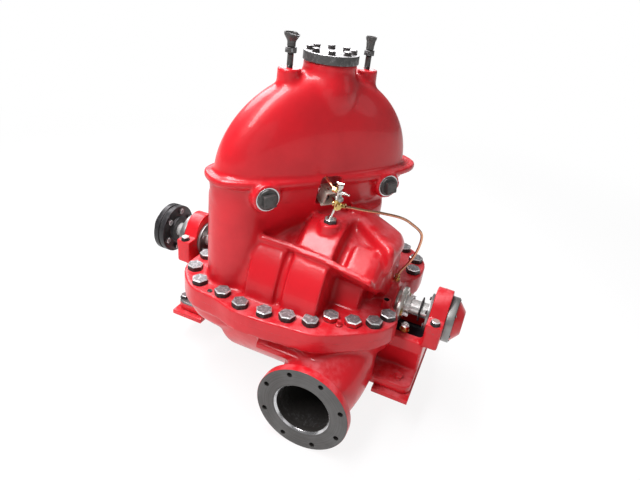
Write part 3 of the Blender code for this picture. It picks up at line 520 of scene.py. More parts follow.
@dataclass(frozen=True)
class HexHead:
    """A hexagonal bolt head or nut with a chamfer, which the bolt finishes make bright as a painted highlight.
    """

    across: float
    height: float
    chamfer: float = 0.0024
    easing: float = 0.0007

    def shape(self, seat: tuple, way: tuple, turn: float = 0.0) -> Shape:
        """The head on its seat.

        Args:
            seat: The middle of its underside.
            way: The direction that it stands up in.
            turn: How far it is screwed round, in radians.

        Returns:
            A closed mesh whose top has finish 0, chamfer finish 1 and sides finish 2.
        """
        head = bmesh.new()
        bmesh.ops.create_cone(head, cap_ends=True, segments=6, radius1=self.across / 2.0,
                              radius2=self.across / 2.0, depth=self.height)
        bmesh.ops.translate(head, vec=(0.0, 0.0, self.height / 2.0), verts=head.verts)
        upright = [edge for edge in head.edges
                   if abs(edge.verts[0].co.z - edge.verts[1].co.z) > self.height / 2.0]
        rounded(head, upright, self.easing, 2)
        top = [edge for edge in head.edges if min(v.co.z for v in edge.verts) > self.height * 0.99]
        rounded(head, top, self.chamfer, 1)
        head.normal_update()
        stained(head, 2)
        stained(head, 1, lambda face: face.normal.z > 0.2)
        stained(head, 0, lambda face: face.normal.z > 0.98)
        start = Vector(seat)
        bmesh.ops.transform(head, matrix=along_axis(start, start + Vector(way))
                            @ Matrix.Rotation(turn, 4, "Z"), verts=head.verts)
        return head


def washered(head: HexHead, seat: Vector, washer: tuple, turn: float, sides: int = 40) -> list:
    """A washer on its seat and the bolt head that stands on it.

    Args:
        head: The head.
        seat: The middle of the washer's underside.
        washer: The washer's radius and height.
        turn: How far the head is screwed round, in radians.
        sides: The faces round the washer.

    Returns:
        Both shapes.
    """
    radius, height = washer
    disc = stained(round_bar(radius, seat, seat + Vector((0.0, 0.0, height)), sides), 2)
    return [disc, head.shape(seat + Vector((0.0, 0.0, height - HEAD_SINK)), (0.0, 0.0, 1.0), turn)]


def square_head(width: float, length: float, easing: float, matrix: Matrix) -> Shape:
    """A square wrench head that rises from its seat at the matrix."""
    return block((-width / 2.0, -width / 2.0, -0.002), (width / 2.0, width / 2.0, length), easing, 4,
                 matrix)


def drawn_tube(route: list, radius: float, per_span: int = 10, sides: int = 24) -> Shape:
    """A tube along a smooth route.

    Args:
        route: The points that it runs through.
        radius: The tube's radius.
        per_span: How many rings it has from one point to the next.
        sides: The faces round it.

    Returns:
        A closed mesh.
    """
    ends = [route[0] * 2 - route[1]] + route + [route[-1] * 2 - route[-2]]
    line = []
    for a, b, c, d in zip(ends, ends[1:], ends[2:], ends[3:]):
        for step in range(per_span):
            t = step / per_span
            line.append(curve_point(a, b, c, d, t))
    line.append(route[-1])
    sections = []
    side = (line[1] - line[0]).orthogonal().normalized()
    for i, place in enumerate(line):
        way = (line[min(i + 1, len(line) - 1)] - line[max(i - 1, 0)]).normalized()
        side = (side - way * side.dot(way)).normalized()
        other = way.cross(side)
        turns = [2.0 * math.pi * k / sides for k in range(sides)]
        sections.append([place + (side * math.cos(a) + other * math.sin(a)) * radius for a in turns])
    return lofted(sections)


def placed(name: str, shape: Shape, finishes: list, stands_for: tuple = (),
           body: str = STATIC_BODY, sharp: float = 35.0) -> bpy.types.Object:
    """Make a finished piece of a shape and let it ride on its body.

    Args:
        name: The piece's name.
        shape: Its shape, drawn from the middle of the pump, which is freed.
        finishes: Its materials, in the order of its faces' finish numbers.
        stands_for: The CAD nodes that it hides.
        body: The body that it rides on.
        sharp: Edges sharper than this many degrees stay sharp.

    Returns:
        The new object.
    """
    bmesh.ops.translate(shape, vec=SHAFT_POINT, verts=shape.verts)
    mesh = bpy.data.meshes.new(name)
    shape.to_mesh(mesh)
    shape.free()
    mesh.shade_smooth()
    mesh.set_sharp_from_angle(angle=math.radians(sharp))
    for finish in finishes:
        mesh.materials.append(finish)
    piece = linked(name, mesh)
    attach(piece, body)
    if stands_for:
        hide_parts(*stands_for)
    mesh.calc_loop_triangles()
    LOG.info("%s: %d triangles", name, len(mesh.loop_triangles))
    return piece


# Effects: node groups that give masks, colours and heights


class Graph:
    """A node tree that is filled and wired by short calls."""

    def __init__(self, tree: bpy.types.NodeTree) -> None:
        """Keep the tree."""
        self.tree = tree

    def node(self, kind: str, values: dict | None = None, **settings: object) -> bpy.types.Node:
        """Add a node.

        Args:
            kind: The node's type name.
            values: Its sockets' values by name or number, or the sockets that feed them.
            settings: Its own properties.

        Returns:
            The new node.
        """
        node = self.tree.nodes.new(kind)
        for key, value in settings.items():
            setattr(node, key, value)
        for key, value in (values or {}).items():
            self.feed(node.inputs[key], value)
        return node

    def feed(self, socket: Socket, value: object) -> None:
        """Give a socket a value, or a link from another socket.

        Args:
            socket: The socket.
            value: A constant, or the socket that feeds it.
        """
        if isinstance(value, Socket):
            self.tree.links.new(value, socket)
        else:
            socket.default_value = value

    def math(self, operation: str, *values: object, clamp: bool = False) -> Socket:
        """The result of a Math node."""
        node = self.node("ShaderNodeMath", dict(enumerate(values)), operation=operation, use_clamp=clamp)
        return node.outputs[0]

    def times(self, first: object, second: object) -> Socket:
        """The product of two values."""
        return self.math("MULTIPLY", first, second)

    def ramp(self, value: object, low: float, high: float, start: float = 0.0,
             end: float = 1.0) -> Socket:
        """A value carried smoothly from one span to another.

        Args:
            value: The value.
            low: Where the first span starts.
            high: Where it ends.
            start: What low becomes.
            end: What high becomes.

        Returns:
            The carried value.
        """
        node = self.node("ShaderNodeMapRange", {"Value": value, "From Min": low, "From Max": high,
                                                "To Min": start, "To Max": end},
                         interpolation_type="SMOOTHSTEP")
        return node.outputs["Result"]

    def noise(self, vector: object, scale: float, detail: float = 3.0,
              roughness: float = 0.55) -> Socket:
        """A noise value.

        Args:
            vector: Where it is read.
            scale: How fine it is.
            detail: Its octaves.
            roughness: How strong the finer octaves are.

        Returns:
            A value from 0 to 1.
        """
        node = self.node("ShaderNodeTexNoise", {"Vector": vector, "Scale": scale, "Detail": detail,
                                                "Roughness": roughness})
        return node.outputs["Fac"]

    def blend(self, share: object, first: object, second: object,
              kind: str = "MIX") -> Socket:
        """Two colours blended by a share.

        Args:
            share: How much of the second shows.
            first: The first colour.
            second: The second colour.
            kind: The way of blending.

        Returns:
            The blended colour.
        """
        node = self.node("ShaderNodeMix", {"Factor": share}, data_type="RGBA", blend_type=kind)
        for socket, value in ((node.inputs[6], first), (node.inputs[7], second)):
            self.feed(socket, (*value, 1.0) if isinstance(value, tuple) else value)
        return node.outputs[2]

    def object_place(self) -> Socket:
        """Where the shaded point lies on the pump."""
        return self.node("ShaderNodeTexCoord").outputs["Object"]


class Effects:
    """The node groups that the finishes share, each built once."""

    def __init__(self) -> None:
        """Build every group."""
        self.casting = self.cast_grain()
        self.worn = self.edge_wear()
        self.settled = self.dust_and_sheen_mask()
        self.turned = self.tool_rings()
        self.zone = self.box_zone()

    def group(self, name: str, inputs: tuple, outputs: tuple) -> tuple:
        """Start a group.

        Args:
            name: The group's name.
            inputs: Names and socket kinds of its inputs.
            outputs: Names of its outputs, which are all values.

        Returns:
            The graph, its input node and its output node.
        """
        tree = bpy.data.node_groups.new(name, "ShaderNodeTree")
        for label, kind in inputs:
            tree.interface.new_socket(label, in_out="INPUT", socket_type=kind)
        for label in outputs:
            tree.interface.new_socket(label, in_out="OUTPUT", socket_type="NodeSocketFloat")
        graph = Graph(tree)
        return graph, graph.node("NodeGroupInput"), graph.node("NodeGroupOutput")

    def cast_grain(self) -> bpy.types.NodeTree:
        """Sand-cast unevenness under paint, with the paint's own orange peel.

        Returns:
            The group.
        """
        graph, given, out = self.group(
            "cast grain", (("Vector", "NodeSocketVector"), ("Coarse", "NodeSocketFloat"),
                           ("Fine", "NodeSocketFloat")), ("Height", "Mottle"))
        place = given.outputs["Vector"]
        coarse = graph.times(graph.noise(place, 34.0, 4.0), given.outputs["Coarse"])
        fine = graph.times(graph.noise(place, 310.0, 2.0), given.outputs["Fine"])
        graph.feed(out.inputs["Height"], graph.math("ADD", coarse, fine))
        graph.feed(out.inputs["Mottle"], graph.ramp(graph.noise(place, 6.5, 4.0, 0.6), 0.36, 0.66))
        return graph.tree

    def edge_wear(self) -> bpy.types.NodeTree:
        """Where edges are rubbed bare, and how hollow the surface is: painted shade for the enamel, tarnish for
        bare metal.

        Returns:
            The group.
        """
        graph, given, out = self.group(
            "edge wear", (("Vector", "NodeSocketVector"), ("Amount", "NodeSocketFloat")),
            ("Edge", "Hollow"))
        bulge = graph.node("ShaderNodeNewGeometry").outputs["Pointiness"]
        patchy = graph.ramp(graph.noise(given.outputs["Vector"], 90.0, 4.0, 0.7), 0.50, 0.64)
        edge = graph.ramp(bulge, 0.535, 0.60)
        graph.feed(out.inputs["Edge"], graph.times(
            graph.times(edge, patchy), given.outputs["Amount"]))
        # hollow mask: painted shade in the enamel's hollows, tarnish in bare metal's
        hollow = graph.ramp(bulge, 0.492, 0.455)
        graph.feed(out.inputs["Hollow"], hollow)
        return graph.tree

    def dust_and_sheen_mask(self) -> bpy.types.NodeTree:
        """Patches on what faces up: dust, and on the enamel also a painted pale pink sheen.

        Returns:
            The group.
        """
        graph, given, out = self.group(
            "dust and sheen", (("Vector", "NodeSocketVector"), ("Amount", "NodeSocketFloat")), ("Mask",))
        facing = graph.node("ShaderNodeSeparateXYZ",
                            {0: graph.node("ShaderNodeNewGeometry").outputs["Normal"]}).outputs["Z"]
        patchy = graph.ramp(graph.noise(given.outputs["Vector"], 16.0, 5.0, 0.65), 0.38, 0.72)
        upward = graph.ramp(facing, 0.55, 0.98)
        graph.feed(out.inputs["Mask"], graph.times(
            graph.times(upward, patchy), given.outputs["Amount"]))
        return graph.tree

    def tool_rings(self) -> bpy.types.NodeTree:
        """The fine rings that a lathe tool leaves about local Z.

        Returns:
            The group.
        """
        graph, given, out = self.group(
            "tool rings", (("Vector", "NodeSocketVector"), ("Pitch", "NodeSocketFloat")),
            ("Height", "Streak"))
        parts = graph.node("ShaderNodeSeparateXYZ", {0: given.outputs["Vector"]})
        flat = graph.node("ShaderNodeCombineXYZ", {"X": parts.outputs["X"], "Y": parts.outputs["Y"]})
        radius = graph.node("ShaderNodeVectorMath", {0: flat.outputs[0]}, operation="LENGTH").outputs["Value"]
        turns = graph.math("DIVIDE", radius, given.outputs["Pitch"])
        wave = graph.math("SINE", graph.times(turns, 2.0 * math.pi))
        graph.feed(out.inputs["Height"], wave)
        band = graph.node("ShaderNodeTexNoise", {"W": graph.times(turns, 0.31), "Detail": 3.0,
                                                 "Scale": 1.0}, noise_dimensions="1D")
        graph.feed(out.inputs["Streak"], graph.ramp(band.outputs["Fac"], 0.35, 0.65))
        return graph.tree

    def box_zone(self) -> bpy.types.NodeTree:
        """A box with a soft border, for machined or bare zones of a casting.

        Returns:
            The group.
        """
        graph, given, out = self.group(
            "box zone", (("Vector", "NodeSocketVector"), ("Centre", "NodeSocketVector"),
                         ("Half", "NodeSocketVector"), ("Border", "NodeSocketFloat")), ("Mask",))
        away = graph.node("ShaderNodeVectorMath", {0: given.outputs["Vector"], 1: given.outputs["Centre"]},
                          operation="SUBTRACT").outputs[0]
        size = graph.node("ShaderNodeVectorMath", {0: away}, operation="ABSOLUTE").outputs[0]
        over = graph.node("ShaderNodeVectorMath", {0: size, 1: given.outputs["Half"]},
                          operation="SUBTRACT").outputs[0]
        parts = graph.node("ShaderNodeSeparateXYZ", {0: over})
        worst = graph.math("MAXIMUM", graph.math("MAXIMUM", parts.outputs["X"], parts.outputs["Y"]),
                           parts.outputs["Z"])
        inside = graph.math("DIVIDE", worst, given.outputs["Border"])
        graph.feed(out.inputs["Mask"], graph.ramp(inside, 0.5, -0.5))
        return graph.tree


EFFECTS = Effects()


# Finishes


@dataclass(frozen=True)
class Finish:
    """What every finish has: a name, and a material that starts from a plain shader."""

    name: str

    def start(self) -> tuple:
        """A new material, its graph, its shader and the place on the pump.

        Returns:
            The four, in that order.
        """
        material = bpy.data.materials.new(self.name)
        material.use_nodes = True
        graph = Graph(material.node_tree)
        return material, graph, material.node_tree.nodes["Principled BSDF"], graph.object_place()

    def effect(self, graph: Graph, tree: bpy.types.NodeTree, **values: object) -> bpy.types.Node:
        """Place one of the shared effects with its own values.

        Args:
            graph: The material's graph.
            tree: The effect's group.
            values: Its inputs by name.

        Returns:
            The group's node.
        """
        node = graph.node("ShaderNodeGroup", node_tree=tree)
        for label, value in values.items():
            graph.feed(node.inputs[label], value)
        return node

    def wire(self, graph: Graph, shader: bpy.types.Node, values: dict) -> None:
        """Give sockets of the shader their values.

        Args:
            graph: The material's graph.
            shader: The material's shader.
            values: Constants, or the sockets that feed them, by the names of the shader's sockets.
        """
        for label, value in values.items():
            graph.feed(shader.inputs[label], value)

    def bump(self, graph: Graph, shader: bpy.types.Node, height: object, distance: float,
             strength: float = 1.0) -> None:
        """Let a height raise the surface.

        Args:
            graph: The material's graph.
            shader: The material's shader.
            height: The height.
            distance: How far it reaches, in metres.
            strength: How much it counts.
        """
        raised = graph.node("ShaderNodeBump", {"Height": height, "Distance": distance,
                                               "Strength": strength})
        graph.feed(shader.inputs["Normal"], raised.outputs["Normal"])


@dataclass(frozen=True)
class Enamel(Finish):
    """Gloss enamel over cast iron, rubbed at edges, with painted shade in its hollows and, on top, dust with a
    painted pale pink sheen.
    """

    colour: tuple = (0.60, 0.010, 0.018)
    # a darker red, for random mottle and for the painted shade in hollows
    shade: tuple = (0.38, 0.003, 0.008)
    # pale pink on what faces up: partly dust, partly a painted sheen
    dust_and_sheen_colour: tuple = (0.72, 0.20, 0.22)
    metal: tuple = (0.16, 0.13, 0.12)
    roughness: float = 0.34
    specular: float = 0.30
    coat: float = 0.26
    coat_roughness: float = 0.08
    coat_index: float = 1.5
    wear: float = 0.5
    dust: float = 0.5
    bare_zones: tuple = ()
    bare_colour: tuple = (0.20, 0.20, 0.20)
    bare_roughness: float = 0.35

    def build(self) -> bpy.types.Material:
        """The material.

        Returns:
            The new material.
        """
        material, graph, shader, place = self.start()
        grain = self.effect(graph, EFFECTS.casting, Vector=place, Coarse=1.0, Fine=0.10)
        wear = self.effect(graph, EFFECTS.worn, Vector=place, Amount=self.wear)
        dust = self.effect(graph, EFFECTS.settled, Vector=place, Amount=self.dust)
        mottled = graph.times(grain.outputs["Mottle"], 0.30)
        paint = graph.blend(mottled, self.colour, self.shade)
        # painted shade: the enamel turns towards the darker shade colour in hollows and creases
        hollow_shade = graph.times(wear.outputs["Hollow"], 0.55)
        paint = graph.blend(hollow_shade, paint, self.shade)
        # painted sheen: up-facing patches turn pale pink, partly dust and partly a painted highlight
        paint = graph.blend(dust.outputs["Mask"], paint, self.dust_and_sheen_colour)
        paint = graph.blend(wear.outputs["Edge"], paint, self.metal)
        rough = graph.math("ADD", graph.ramp(grain.outputs["Mottle"], 0.0, 1.0, self.roughness - 0.06,
                                             self.roughness + 0.08),
                           graph.times(dust.outputs["Mask"], 0.30))
        metallic = wear.outputs["Edge"]
        for centre, half in self.bare_zones:
            zone = self.effect(graph, EFFECTS.zone, Vector=place, Centre=centre, Half=half,
                               Border=0.004).outputs["Mask"]
            ragged = graph.ramp(graph.math("ADD", zone, graph.times(
                graph.math("SUBTRACT", graph.noise(place, 120.0), 0.5), 0.5)), 0.40, 0.60)
            paint = graph.blend(ragged, paint, self.bare_colour)
            rough = graph.math("ADD", graph.times(rough, graph.math("SUBTRACT", 1.0, ragged)),
                               graph.times(ragged, self.bare_roughness))
            metallic = graph.math("MAXIMUM", metallic, graph.times(ragged, 0.7))
        self.wire(graph, shader, {"Base Color": paint, "Roughness": rough, "Metallic": metallic,
                                  "Coat Weight": self.coat, "Specular IOR Level": self.specular,
                                  "Coat Roughness": self.coat_roughness, "Coat IOR": self.coat_index})
        self.bump(graph, shader, grain.outputs["Height"], 0.0007)
        return material


@dataclass(frozen=True)
class BareMetal(Finish):
    """Metal without paint: forged, drawn or ground, with tarnish and rubbed edges."""

    colour: tuple = (0.30, 0.30, 0.31)
    tarnish: tuple = (0.12, 0.10, 0.09)
    bright: tuple = (0.62, 0.62, 0.64)
    metallic: float = 0.9
    roughness: float = 0.38
    tarnished: float = 0.5
    grain: float = 0.25
    scale: float = 60.0

    def build(self) -> bpy.types.Material:
        """The material.

        Returns:
            The new material.
        """
        material, graph, shader, place = self.start()
        grain = self.effect(graph, EFFECTS.casting, Vector=place, Coarse=self.grain, Fine=0.12)
        wear = self.effect(graph, EFFECTS.worn, Vector=place, Amount=0.9)
        spots = graph.ramp(graph.noise(place, self.scale, 5.0, 0.65), 0.42, 0.68)
        stained_share = graph.times(spots, self.tarnished)
        colour = graph.blend(stained_share, self.colour, self.tarnish)
        colour = graph.blend(graph.times(wear.outputs["Hollow"], 0.6), colour, self.tarnish)
        colour = graph.blend(wear.outputs["Edge"], colour, self.bright)
        rough = graph.ramp(spots, 0.0, 1.0, self.roughness - 0.06, self.roughness + 0.14)
        self.wire(graph, shader, {"Base Color": colour, "Roughness": rough, "Metallic": self.metallic})
        self.bump(graph, shader, grain.outputs["Height"], 0.0004)
        return material


@dataclass(frozen=True)
class LatheTurned(Finish):
    """Machined metal with the tool's rings about an axis of the pump."""

    centre: tuple = (0.0, 0.0, 0.0)
    tilt: tuple = (0.0, 0.0, 0.0)
    colour: tuple = (0.34, 0.34, 0.35)
    dull: tuple = (0.16, 0.16, 0.16)
    metallic: float = 0.85
    roughness: float = 0.34
    pitch: float = 0.0016
    anisotropy: float = 0.3

    def build(self) -> bpy.types.Material:
        """The material.

        Returns:
            The new material.
        """
        material, graph, shader, place = self.start()
        local = graph.node("ShaderNodeMapping", {"Vector": place, "Location": self.centre,
                                                 "Rotation": self.tilt}, vector_type="TEXTURE")
        rings = self.effect(graph, EFFECTS.turned, Vector=local.outputs[0], Pitch=self.pitch)
        grain = self.effect(graph, EFFECTS.casting, Vector=place, Coarse=0.4, Fine=0.1)
        share = graph.math("ADD", graph.times(rings.outputs["Streak"], 0.35),
                           graph.times(grain.outputs["Mottle"], 0.45), clamp=True)
        rough = graph.ramp(share, 0.0, 1.0, self.roughness - 0.06, self.roughness + 0.16)
        self.wire(graph, shader, {"Base Color": graph.blend(share, self.colour, self.dull),
                                  "Roughness": rough, "Metallic": self.metallic,
                                  "Anisotropic": self.anisotropy})
        self.bump(graph, shader, rings.outputs["Height"], 0.00004, 0.6)
        return material


@dataclass(frozen=True)
class Rubber(Finish):
    """Black rubber with a grey bloom."""

    colour: tuple = (0.016, 0.016, 0.018)
    bloom: tuple = (0.06, 0.06, 0.062)

    def build(self) -> bpy.types.Material:
        """The material.

        Returns:
            The new material.
        """
        material, graph, shader, place = self.start()
        grain = self.effect(graph, EFFECTS.casting, Vector=place, Coarse=0.3, Fine=0.3)
        dust = self.effect(graph, EFFECTS.settled, Vector=place, Amount=0.5)
        colour = graph.blend(graph.times(grain.outputs["Mottle"], 0.4), self.colour, self.bloom)
        self.wire(graph, shader, {"Base Color": graph.blend(dust.outputs["Mask"], colour, self.bloom),
                                  "Roughness": graph.ramp(grain.outputs["Mottle"], 0.0, 1.0, 0.5, 0.75)})
        self.bump(graph, shader, grain.outputs["Height"], 0.0003)
        return material


class Palette:
    """Every finish of the pump, each built once."""

    def __init__(self) -> None:
        """Build the materials."""
        shaft_x, shaft_y, shaft_z = SHAFT_POINT
        across = (0.0, math.pi / 2.0, 0.0)
        self.enamel = Enamel("red enamel").build()
        self.lower_enamel = Enamel("red enamel with a bare foot", bare_zones=(
            ((shaft_x - 0.452, shaft_y, shaft_z - 0.215), (0.090, 0.215, 0.006)),)).build()
        self.trough = BareMetal("oily trough", colour=(0.035, 0.045, 0.062), tarnish=(0.018, 0.018, 0.022),
                                bright=(0.05, 0.06, 0.08), metallic=0.3, roughness=0.14).build()
        # painted shade: near-black iron inside bores, holes and the blind back of each nozzle
        self.passage = BareMetal("dark passage", colour=(0.050, 0.047, 0.043), tarnish=(0.022, 0.019, 0.017),
                                 bright=(0.12, 0.12, 0.12), metallic=0.4, roughness=0.5, grain=1.6,
                                 scale=24.0).build()
        self.bolt_top = BareMetal("bolt face", colour=(0.21, 0.21, 0.215), tarnish=(0.10, 0.085, 0.08),
                                  metallic=0.35, roughness=0.40, tarnished=0.45, scale=48.0).build()
        # painted highlight: near-white steel for the glint on chamfers; the gland studs are made of it too
        self.bolt_edge = BareMetal("bolt chamfer", colour=(0.80, 0.80, 0.80), tarnish=(0.46, 0.44, 0.42),
                                   metallic=0.55, roughness=0.30, tarnished=0.2).build()
        # painted shade: near-black sides, far darker than the top of the same head
        self.bolt_side = BareMetal("bolt side", colour=(0.030, 0.027, 0.026), tarnish=(0.018, 0.010, 0.010),
                                   bright=(0.10, 0.09, 0.09), metallic=0.3, roughness=0.45).build()
        self.iron = BareMetal("dark iron", colour=(0.085, 0.083, 0.080), tarnish=(0.040, 0.036, 0.034),
                              bright=(0.34, 0.34, 0.35), metallic=0.6, roughness=0.42, grain=0.8).build()
        self.bare = BareMetal("bright steel", colour=(0.62, 0.62, 0.63), tarnish=(0.34, 0.33, 0.32),
                              metallic=1.0, roughness=0.24, tarnished=0.4).build()
        self.brass = BareMetal("brass", colour=(0.66, 0.48, 0.17), tarnish=(0.30, 0.20, 0.08),
                               bright=(0.90, 0.76, 0.40), metallic=1.0, roughness=0.26).build()
        self.nickel = BareMetal("nickel", colour=(0.62, 0.60, 0.56), tarnish=(0.30, 0.28, 0.24),
                                bright=(0.85, 0.84, 0.80), metallic=1.0, roughness=0.22).build()
        self.copper = BareMetal("copper tube", colour=(0.70, 0.36, 0.22), tarnish=(0.34, 0.15, 0.09),
                                bright=(0.92, 0.62, 0.45), metallic=1.0, roughness=0.22, scale=30.0).build()
        # partly painted highlight: a pale metal whitened for the glare on the glands; it also tops some bolts
        self.packing = BareMetal("pale gland", colour=(0.70, 0.70, 0.66), tarnish=(0.36, 0.33, 0.26),
                                 bright=(0.86, 0.86, 0.84), metallic=0.8, roughness=0.34).build()
        self.bracket = BareMetal("bare bracket", colour=(0.66, 0.61, 0.52), tarnish=(0.26, 0.21, 0.16),
                                 bright=(0.85, 0.82, 0.75), metallic=0.25, roughness=0.42, scale=40.0).build()
        self.rubber = Rubber("black rubber").build()
        self.hub = BareMetal("black hub", colour=(0.018, 0.018, 0.020), tarnish=(0.035, 0.033, 0.032),
                             bright=(0.16, 0.16, 0.17), metallic=0.2, roughness=0.36, grain=0.9).build()
        arch_x = shaft_x - 0.025
        self.cover = LatheTurned("turned cover", centre=(arch_x, shaft_y, 0.0),
                                 colour=(0.62, 0.62, 0.62), dull=(0.40, 0.40, 0.40)).build()
        # painted shade: the cover's rim is far darker than its turned top
        self.cover_side_shade = BareMetal("cover side", colour=(0.085, 0.087, 0.085), tarnish=(0.045, 0.044, 0.042),
                                    bright=(0.30, 0.30, 0.30), metallic=0.5, roughness=0.42).build()
        # partly painted highlight: ground steel made pale and partly diffuse for the glare round the glands
        self.shaft = LatheTurned("ground shaft", centre=(0.0, shaft_y, shaft_z), tilt=across,
                                 colour=(0.80, 0.80, 0.78), dull=(0.56, 0.55, 0.52), metallic=0.6,
                                 roughness=0.28).build()
        self.end_disc = LatheTurned("turned disc", centre=(0.0, shaft_y, shaft_z), tilt=across,
                                    colour=(0.34, 0.345, 0.34), dull=(0.19, 0.19, 0.18)).build()
        suction = (shaft_x + 0.204, 0.0, shaft_z - 0.232)
        discharge = (shaft_x - 0.204, 0.0, shaft_z - 0.232)
        upright = (math.pi / 2.0, 0.0, 0.0)
        self.faces = [LatheTurned(name, centre=centre, tilt=upright, colour=(0.115, 0.113, 0.110),
                                  dull=(0.070, 0.066, 0.062), metallic=0.45, roughness=0.42).build()
                      for name, centre in (("suction face", suction), ("discharge face", discharge))]

    def bolt(self) -> list:
        """The finishes of a bolt's top, chamfer and sides: grey, a painted highlight and painted shade."""
        return [self.bolt_top, self.bolt_edge, self.bolt_side]


# Sub-assemblies


@dataclass
class Arch:
    """The crossover arch that stands across the pump."""

    angle: float = math.radians(52.0)
    shift: float = -0.025
    web_levels: tuple = ((0.010, -0.300, 0.200, 0.075), (0.250, -0.360, 0.240, 0.080),
                         (0.300, -0.385, 0.290, 0.090), (0.340, -0.398, 0.318, 0.106),
                         (0.380, -0.404, 0.345, 0.119), (0.420, -0.406, 0.378, 0.127),
                         (0.442, -0.410, 0.402, 0.131), (0.464, -0.412, 0.406, 0.132))
    column_radius: float = 0.110
    columns: tuple = ((-0.293, -0.016, 0.390), (0.190, 0.0, 0.320))
    rim_height: float = 0.468
    rim_thickness: float = 0.026
    rim_length: float = 0.421
    rim_width: float = 0.140
    dome_length: float = 0.378
    dome_thickness: float = 0.127
    dome_rise: float = 0.335
    dome_roundness: float = 0.60
    dome_power: float = 1.9
    dome_lean: float = -0.014
    neck_radius: float = 0.090
    neck_top: float = 0.832
    neck_height: float = 0.028
    neck_flare: tuple = ((0.0, 0.0), (0.004, 0.014), (0.011, 0.028), (0.018, 0.046), (0.021, 0.072),
                         (0.018, 0.105), (0.008, 0.145), (-0.012, 0.190), (-0.044, 0.240))
    boss_reach: float = 0.150
    boss_radius: float = 0.0385
    boss_top: float = 0.808
    plug_reach: tuple = (-0.259, 0.231)
    plug_height: float = 0.416
    pad_radius: float = 0.050
    pad_proud: float = 0.140
    window_shift: float = -0.020
    window_width: float = 0.090
    window_height: float = 0.110
    window_centre: float = 0.418
    window_corner: float = 0.020

    def point(self, along: float, across: float, height: float) -> tuple:
        """A point given along and across the arch."""
        c, s = math.cos(self.angle), math.sin(self.angle)
        return (self.shift + along * c + across * s, along * s - across * c, height)

    def section(self, low: float, high: float, half_width: float, height: float,
                exponent: float = 2.6) -> list:
        """One level section of the arch from one end to the other."""
        middle, half = (low + high) / 2.0, (high - low) / 2.0
        return [self.point(middle + u, -v, height) for u, v in oval(half, half_width, exponent)]

    def legs(self) -> list:
        """The two legs and the web between them, up to the lip.

        Returns:
            Their shapes.
        """
        web = lofted([self.section(low, high, wide, height, 2.4)
                      for height, low, high, wide in self.web_levels])
        return [web] + [round_bar(self.column_radius, self.point(along, across, 0.0),
                                  self.point(along, across, top)) for along, across, top in self.columns]

    def rim(self) -> Shape:
        """The lip round the foot of the dome.

        Returns:
            A closed mesh.
        """
        low, high = self.rim_height - self.rim_thickness, self.rim_height
        reach, wide = self.rim_length, self.rim_width
        return lofted([self.section(-reach + inset, reach - inset, wide - inset, height, 2.8)
                       for height, inset in ((low, 0.004), (low + 0.005, 0.0), (high - 0.006, 0.0),
                                             (high, 0.004))])

    def dome(self) -> Shape:
        """The helmet above the lip.

        Returns:
            A closed mesh.
        """
        levels, steps = [], 44
        base, rise = self.rim_height - 0.004, self.dome_rise + 0.004
        for step in range(steps):
            share = math.sin(math.radians(90.0 * step / steps))
            spread = (1.0 - share ** self.dome_power) ** (1.0 / self.dome_power)
            reach, lean = self.dome_length * spread, self.dome_lean * (1.0 - share)
            levels.append(self.section(lean - reach, lean + reach,
                                       self.dome_thickness * spread ** self.dome_roundness,
                                       base + rise * share, 2.5))
        return lofted(levels)

    def neck(self) -> Shape:
        """The round neck under the top cover.

        Returns:
            A closed mesh.
        """
        top, radius = self.neck_top, self.neck_radius
        profile = [(0.0, top), (radius, top)]
        profile += [(radius + spread, top - self.neck_height - fall) for spread, fall in self.neck_flare]
        profile.append((0.0, profile[-1][1] - 0.030))
        return revolved(profile, matrix=Matrix.Translation(self.point(0.0, 0.0, 0.0)))

    def collar(self) -> Shape:
        """The crisp top of the neck."""
        return round_bar(self.neck_radius, self.point(0.0, 0.0, self.neck_top - 0.040),
                         self.point(0.0, 0.0, self.neck_top), 96)

    def bosses(self) -> list:
        """The two round bosses under the vents."""
        return [round_bar(self.boss_radius + 0.004, self.point(side * self.boss_reach, 0.0, 0.62),
                          self.point(side * self.boss_reach, 0.0, self.boss_top),
                          tip_radius=self.boss_radius) for side in (-1, 1)]

    def plug_spots(self) -> list:
        """(along, face) of the four plugs; the rear ones lie half a turn from the front ones."""
        return [(face.value * reach, face.value) for face in Face for reach in self.plug_reach]

    def pads(self) -> list:
        """The round pads under the plugs."""
        return [round_bar(self.pad_radius + 0.004, self.point(along, side * 0.060, self.plug_height),
                          self.point(along, side * self.pad_proud, self.plug_height),
                          tip_radius=self.pad_radius) for along, side in self.plug_spots()]

    def window(self) -> Shape:
        """The opening through the web.

        Returns:
            A closed mesh.
        """
        wide, tall = self.window_width / 2.0, self.window_height / 2.0
        matrix = (Matrix.Translation(self.point(self.window_shift, 0.0, self.window_centre))
                  @ Matrix.Rotation(self.angle, 4, "Z"))
        return block((-wide, -0.5, -tall), (wide, 0.5, tall), self.window_corner, 6, matrix)


def closed_curve(corners: list, per_span: int) -> list:
    """A closed Catmull-Rom curve in plan.

    Args:
        corners: The points that it runs through.
        per_span: How many points it has from one corner to the next.

    Returns:
        Its points.
    """
    count = len(corners)
    points = []
    for i in range(count):
        a, b, c, d = (Vector(corners[(i + k) % count]) for k in (-1, 0, 1, 2))
        for step in range(per_span):
            t = step / per_span
            points.append(curve_point(a, b, c, d, t))
    return points


